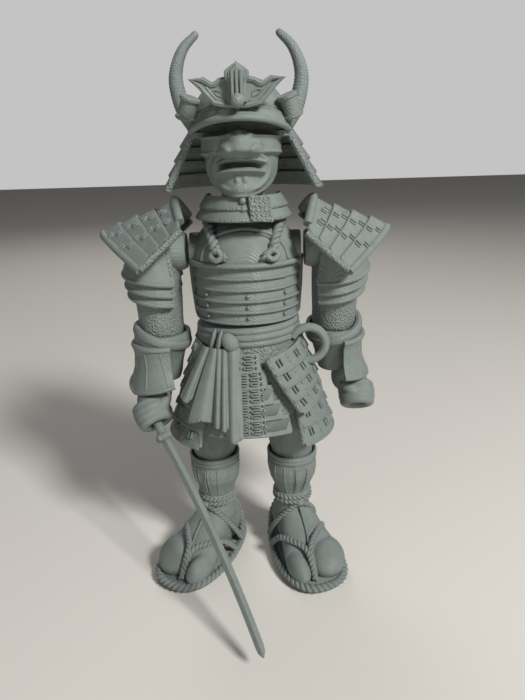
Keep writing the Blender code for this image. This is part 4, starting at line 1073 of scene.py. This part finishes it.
def make_neck_guard():
    """Four flared plates, each lapped over the one below, with thick turned-in front edges."""
    made = []
    for k in range(GUARD_PLATES):
        def plate(u, v, k=k):
            drop = GUARD_DROP * (k + v * 1.04) / GUARD_PLATES
            depth = drop / GUARD_DROP
            start = 64 + 9 * depth
            a = math.radians(start + (360 - 2 * start) * u)
            out = (0.2 + 1.3 * v) * min(1, 12 * min(u, 1 - u))
            wide = 19.8 + 11.2 * depth + out
            deep = 21.5 + 8.06 * depth + out
            return (wide * math.sin(a), -deep * math.cos(a), EDGE + 1 - drop)
        made.append(surface("guard_plate", 90, 5, plate, wall=1.2, edge=0.25, material=stippled_filament))
        made.append(bar("guard_lap", [plate(i / 90, 1) for i in range(91)], 0.6, sides=2))
        for u in (0.0, 1.0):
            made.append(bar("guard_front", [plate(u, i / 5) for i in range(6)], 1.5, sides=4,
                            material=stippled_filament))
    return made


def climb(t):
    """Climbs from 0 to 1 round t = 0."""
    return 0.5 + 0.5 * math.tanh(t)


def swell(*shares):
    """A round swelling, 1 at its middle."""
    return math.exp(-sum(t * t for t in shares))


def mask_relief(x, z):
    """How far the mask stands out at a spot: bands and nose first, then lips, folds and chin."""
    far = abs(x)
    lip = 21.4 - 0.9 * (min(far, 9) / 8) ** 3
    oval = math.hypot(far / 10.4, (z - 19.4) / 7.4)
    edge = 25.2 - 0.04 * far
    out = 1.5 * climb((z - edge) / 0.3) + 0.8 * swell((z - 31.3) / 0.55) * climb((far - 4.5) / 0.8)
    out += 0.6 * swell((z - edge - 0.9) / 0.5) * climb((far - 7) / 0.8)
    out += (1.9 * climb((1 - math.hypot(x / 4.3, (z - 27.2) / 3.8)) / 0.3)
            + 3.6 * swell(x / 3.3, (z - 26.8) / 2.9))
    out += (2.3 * climb((1 - math.hypot((far - 4.5) / 2.1, (z - 26.1) / 2.4)) / 0.3)
            + 1.8 * swell(x / 2.6, (z - 30.6) / 1.4))
    out += 1.6 * swell((far - 3.2) / 1.2, (z - 32.0) / 1.2) + 1.6 * swell(x / 1.1, (z - 32.8) / 1.1)
    out -= (1.3 * swell((far - 7.2) / 0.6, (z - 26.2) / 2.2)
            + 7.5 * climb((z - 32.1 - 1.7 * swell(far / 3.4)) / 0.4))
    out += (1.3 * swell((z - lip - 1.7) / 0.6) * climb((8.8 - far) / 0.5)
            + 2.5 * swell((z - lip + 2.1) / 0.9) * climb((8.2 - far) / 0.5))
    out += 1.0 * swell((oval - 1) / 0.08) * climb((far - 4) / 0.8) * climb((25 - z) / 0.5)
    out += 0.7 * swell((oval - 1.27) / 0.065) * climb((24.4 - z) / 0.6)
    out += 1.6 * swell(x / 6, (z - 12.6) / 2.6) + 1.1 * swell((far - 1.4) / 0.9, (z - 16) / 1.2)
    return out - 4.5 * climb((0.85 - abs(z - lip)) / 0.15) * climb((8 - far) / 0.35)


def make_mask():
    """Armour mask in one skin, round the front of the head."""
    def face(u, v):
        z = MASK_FOOT + MASK_HEIGHT * min(1, max(0, (v * 116 - 1) / 114))
        if v in (0, 1):
            return (0, -4, z)
        wide = MASK_WIDE * (1 - max(0, 1 - (z - 7.9) / 22) ** 3) ** 0.5
        tuck = 0.16 * math.exp(-(z - MASK_FOOT) / 0.9)
        deep = MASK_DEEP * (1 - tuck - 0.1 * max(0, (z - 27) / 11) ** 2)
        a = math.tau * u
        across = math.copysign(abs(math.sin(a)) ** 0.88, math.sin(a))
        along = math.copysign(abs(math.cos(a)) ** 0.9, math.cos(a))
        spot = Vector((wide * across, -along * (deep if along > 0 else min(10, wide)), z))
        if along > 0:
            away = Vector((across / max(wide, 4), -along / deep, 0)).normalized()
            spot += away * mask_relief(spot.x, z) * min(1, 2.5 * along)
        return spot

    return [surface("mask", 240, 116, face)]


def make_collar():
    """Banded collar round the throat, with a laced flap at one side of the front."""
    made = [turned("neck", [(0, 22), (9, 22), (9, 0.4), (0, 0.4)], 40)]
    for k in range(2):
        def band(u, v, k=k):
            drop = 11 * (k + v) / 2
            a = math.radians(-108 + 216 * u)
            wide = 14.6 + 3.4 * drop / 11 + 0.2 + 1.2 * v
            deep = 18.6 + 2.6 * drop / 11 + 0.2 + 1.2 * v
            return (wide * math.sin(a), -deep * math.cos(a), 9.8 - 0.78 * drop)
        made.append(surface("collar_band", 48, 5, band, wall=1.4, edge=0.3))
        made.append(bar("collar_hem", [band(i / 48, 1) for i in range(49)], 0.75, sides=3,
                        material=stippled_filament))

    def flap(u, v):
        return (2.2 + 8.4 * u + 0.9 * v, -21.4 - 1.4 * v + 1.9 * u * u, 10.6 - 9.6 * v - 0.8 * u)

    made.append(surface("laced_flap", 14, 14, flap, wall=1.8, edge=0.35, material=stippled_filament))
    knots = []
    for i in range(5):
        for k in range(6):
            knots.append(on_surface(flap, 0.12 + 0.19 * i, 0.08 + 0.165 * k)
                         @ Matrix.Rotation(math.radians(40 if (i + k) % 2 else -40), 4, "Z"))
    made.append(dashes("flap_lacing", knots, (0.6, 1.5, 2.5)))
    for x, z in ((0.4, 11.5), (0.2, 8.5), (0.4, 5.5), (0.8, 2.6)):
        made.append(lump("flap_tie", (x, -21.4, z), (1.3, 1.1, 1.3), rings=8))
    return made


head = joined("helmet_and_mask", make_helmet() + make_crest() + make_neck_guard() + make_mask()
              + make_collar())
set_down(head, "head", NECK, nodes=["head"])

# Table top, studio light and camera. The top is a plain pale board, a large soft key light stands
# at the front right, and the camera looks down from head height at the photograph's angle.
CAMERA_PLACE, CAMERA_PITCH, CAMERA_ROLL = (0.006, -0.204, 0.192), 69.8, -1.7
bpy.ops.object.select_all(action="DESELECT")
bpy.ops.mesh.primitive_plane_add(size=6, location=(0, 1.2, 0))
floor = bpy.context.object
floor.name = "table_top"
top = bpy.data.materials.new("pale_table")
top.use_nodes = True
top.node_tree.nodes["Principled BSDF"].inputs["Base Color"].default_value = (0.66, 0.63, 0.58, 1)
top.node_tree.nodes["Principled BSDF"].inputs["Roughness"].default_value = 0.75
floor.data.materials.append(top)

world = bpy.data.worlds.new("studio")
world.use_nodes = True
world.node_tree.nodes["Background"].inputs["Color"].default_value = (0.86, 0.86, 0.87, 1)
ray = world.node_tree.nodes.new("ShaderNodeLightPath")
strength = world.node_tree.nodes.new("ShaderNodeMath")
strength.operation = "MULTIPLY_ADD"
strength.inputs[1].default_value = 0.5
strength.inputs[2].default_value = 0.14
world.node_tree.links.new(ray.outputs["Is Camera Ray"], strength.inputs[0])
world.node_tree.links.new(strength.outputs[0], world.node_tree.nodes["Background"].inputs["Strength"])
bpy.context.scene.world = world
for name, spot, size, power in (("key", (0.6, -0.62, 0.85), 0.22, 15),
                                ("fill", (-0.9, -0.8, 0.6), 0.9, 1.3), ("rim", (-0.3, 0.9, 0.9), 0.6, 3)):
    lamp = bpy.data.lights.new(name, "AREA")
    lamp.size = size
    lamp.energy = power
    light = bpy.data.objects.new(name, lamp)
    light.location = spot
    light.rotation_euler = (Vector((0, 0.02, 0.12)) - Vector(spot)).to_track_quat("-Z", "Y").to_euler()
    bpy.context.scene.collection.objects.link(light)

lens = bpy.data.cameras.new("camera")
lens.sensor_width = 36
lens.lens = 27.05
lens.clip_start = 0.01
camera = bpy.data.objects.new("camera", lens)
camera.matrix_world = (Matrix.Translation(CAMERA_PLACE)
                       @ Matrix.Rotation(math.radians(CAMERA_PITCH), 4, "X")
                       @ Matrix.Rotation(math.radians(CAMERA_ROLL), 4, "Z"))
bpy.context.scene.collection.objects.link(camera)
bpy.context.scene.camera = camera
bpy.context.scene.view_settings.view_transform = "Standard"
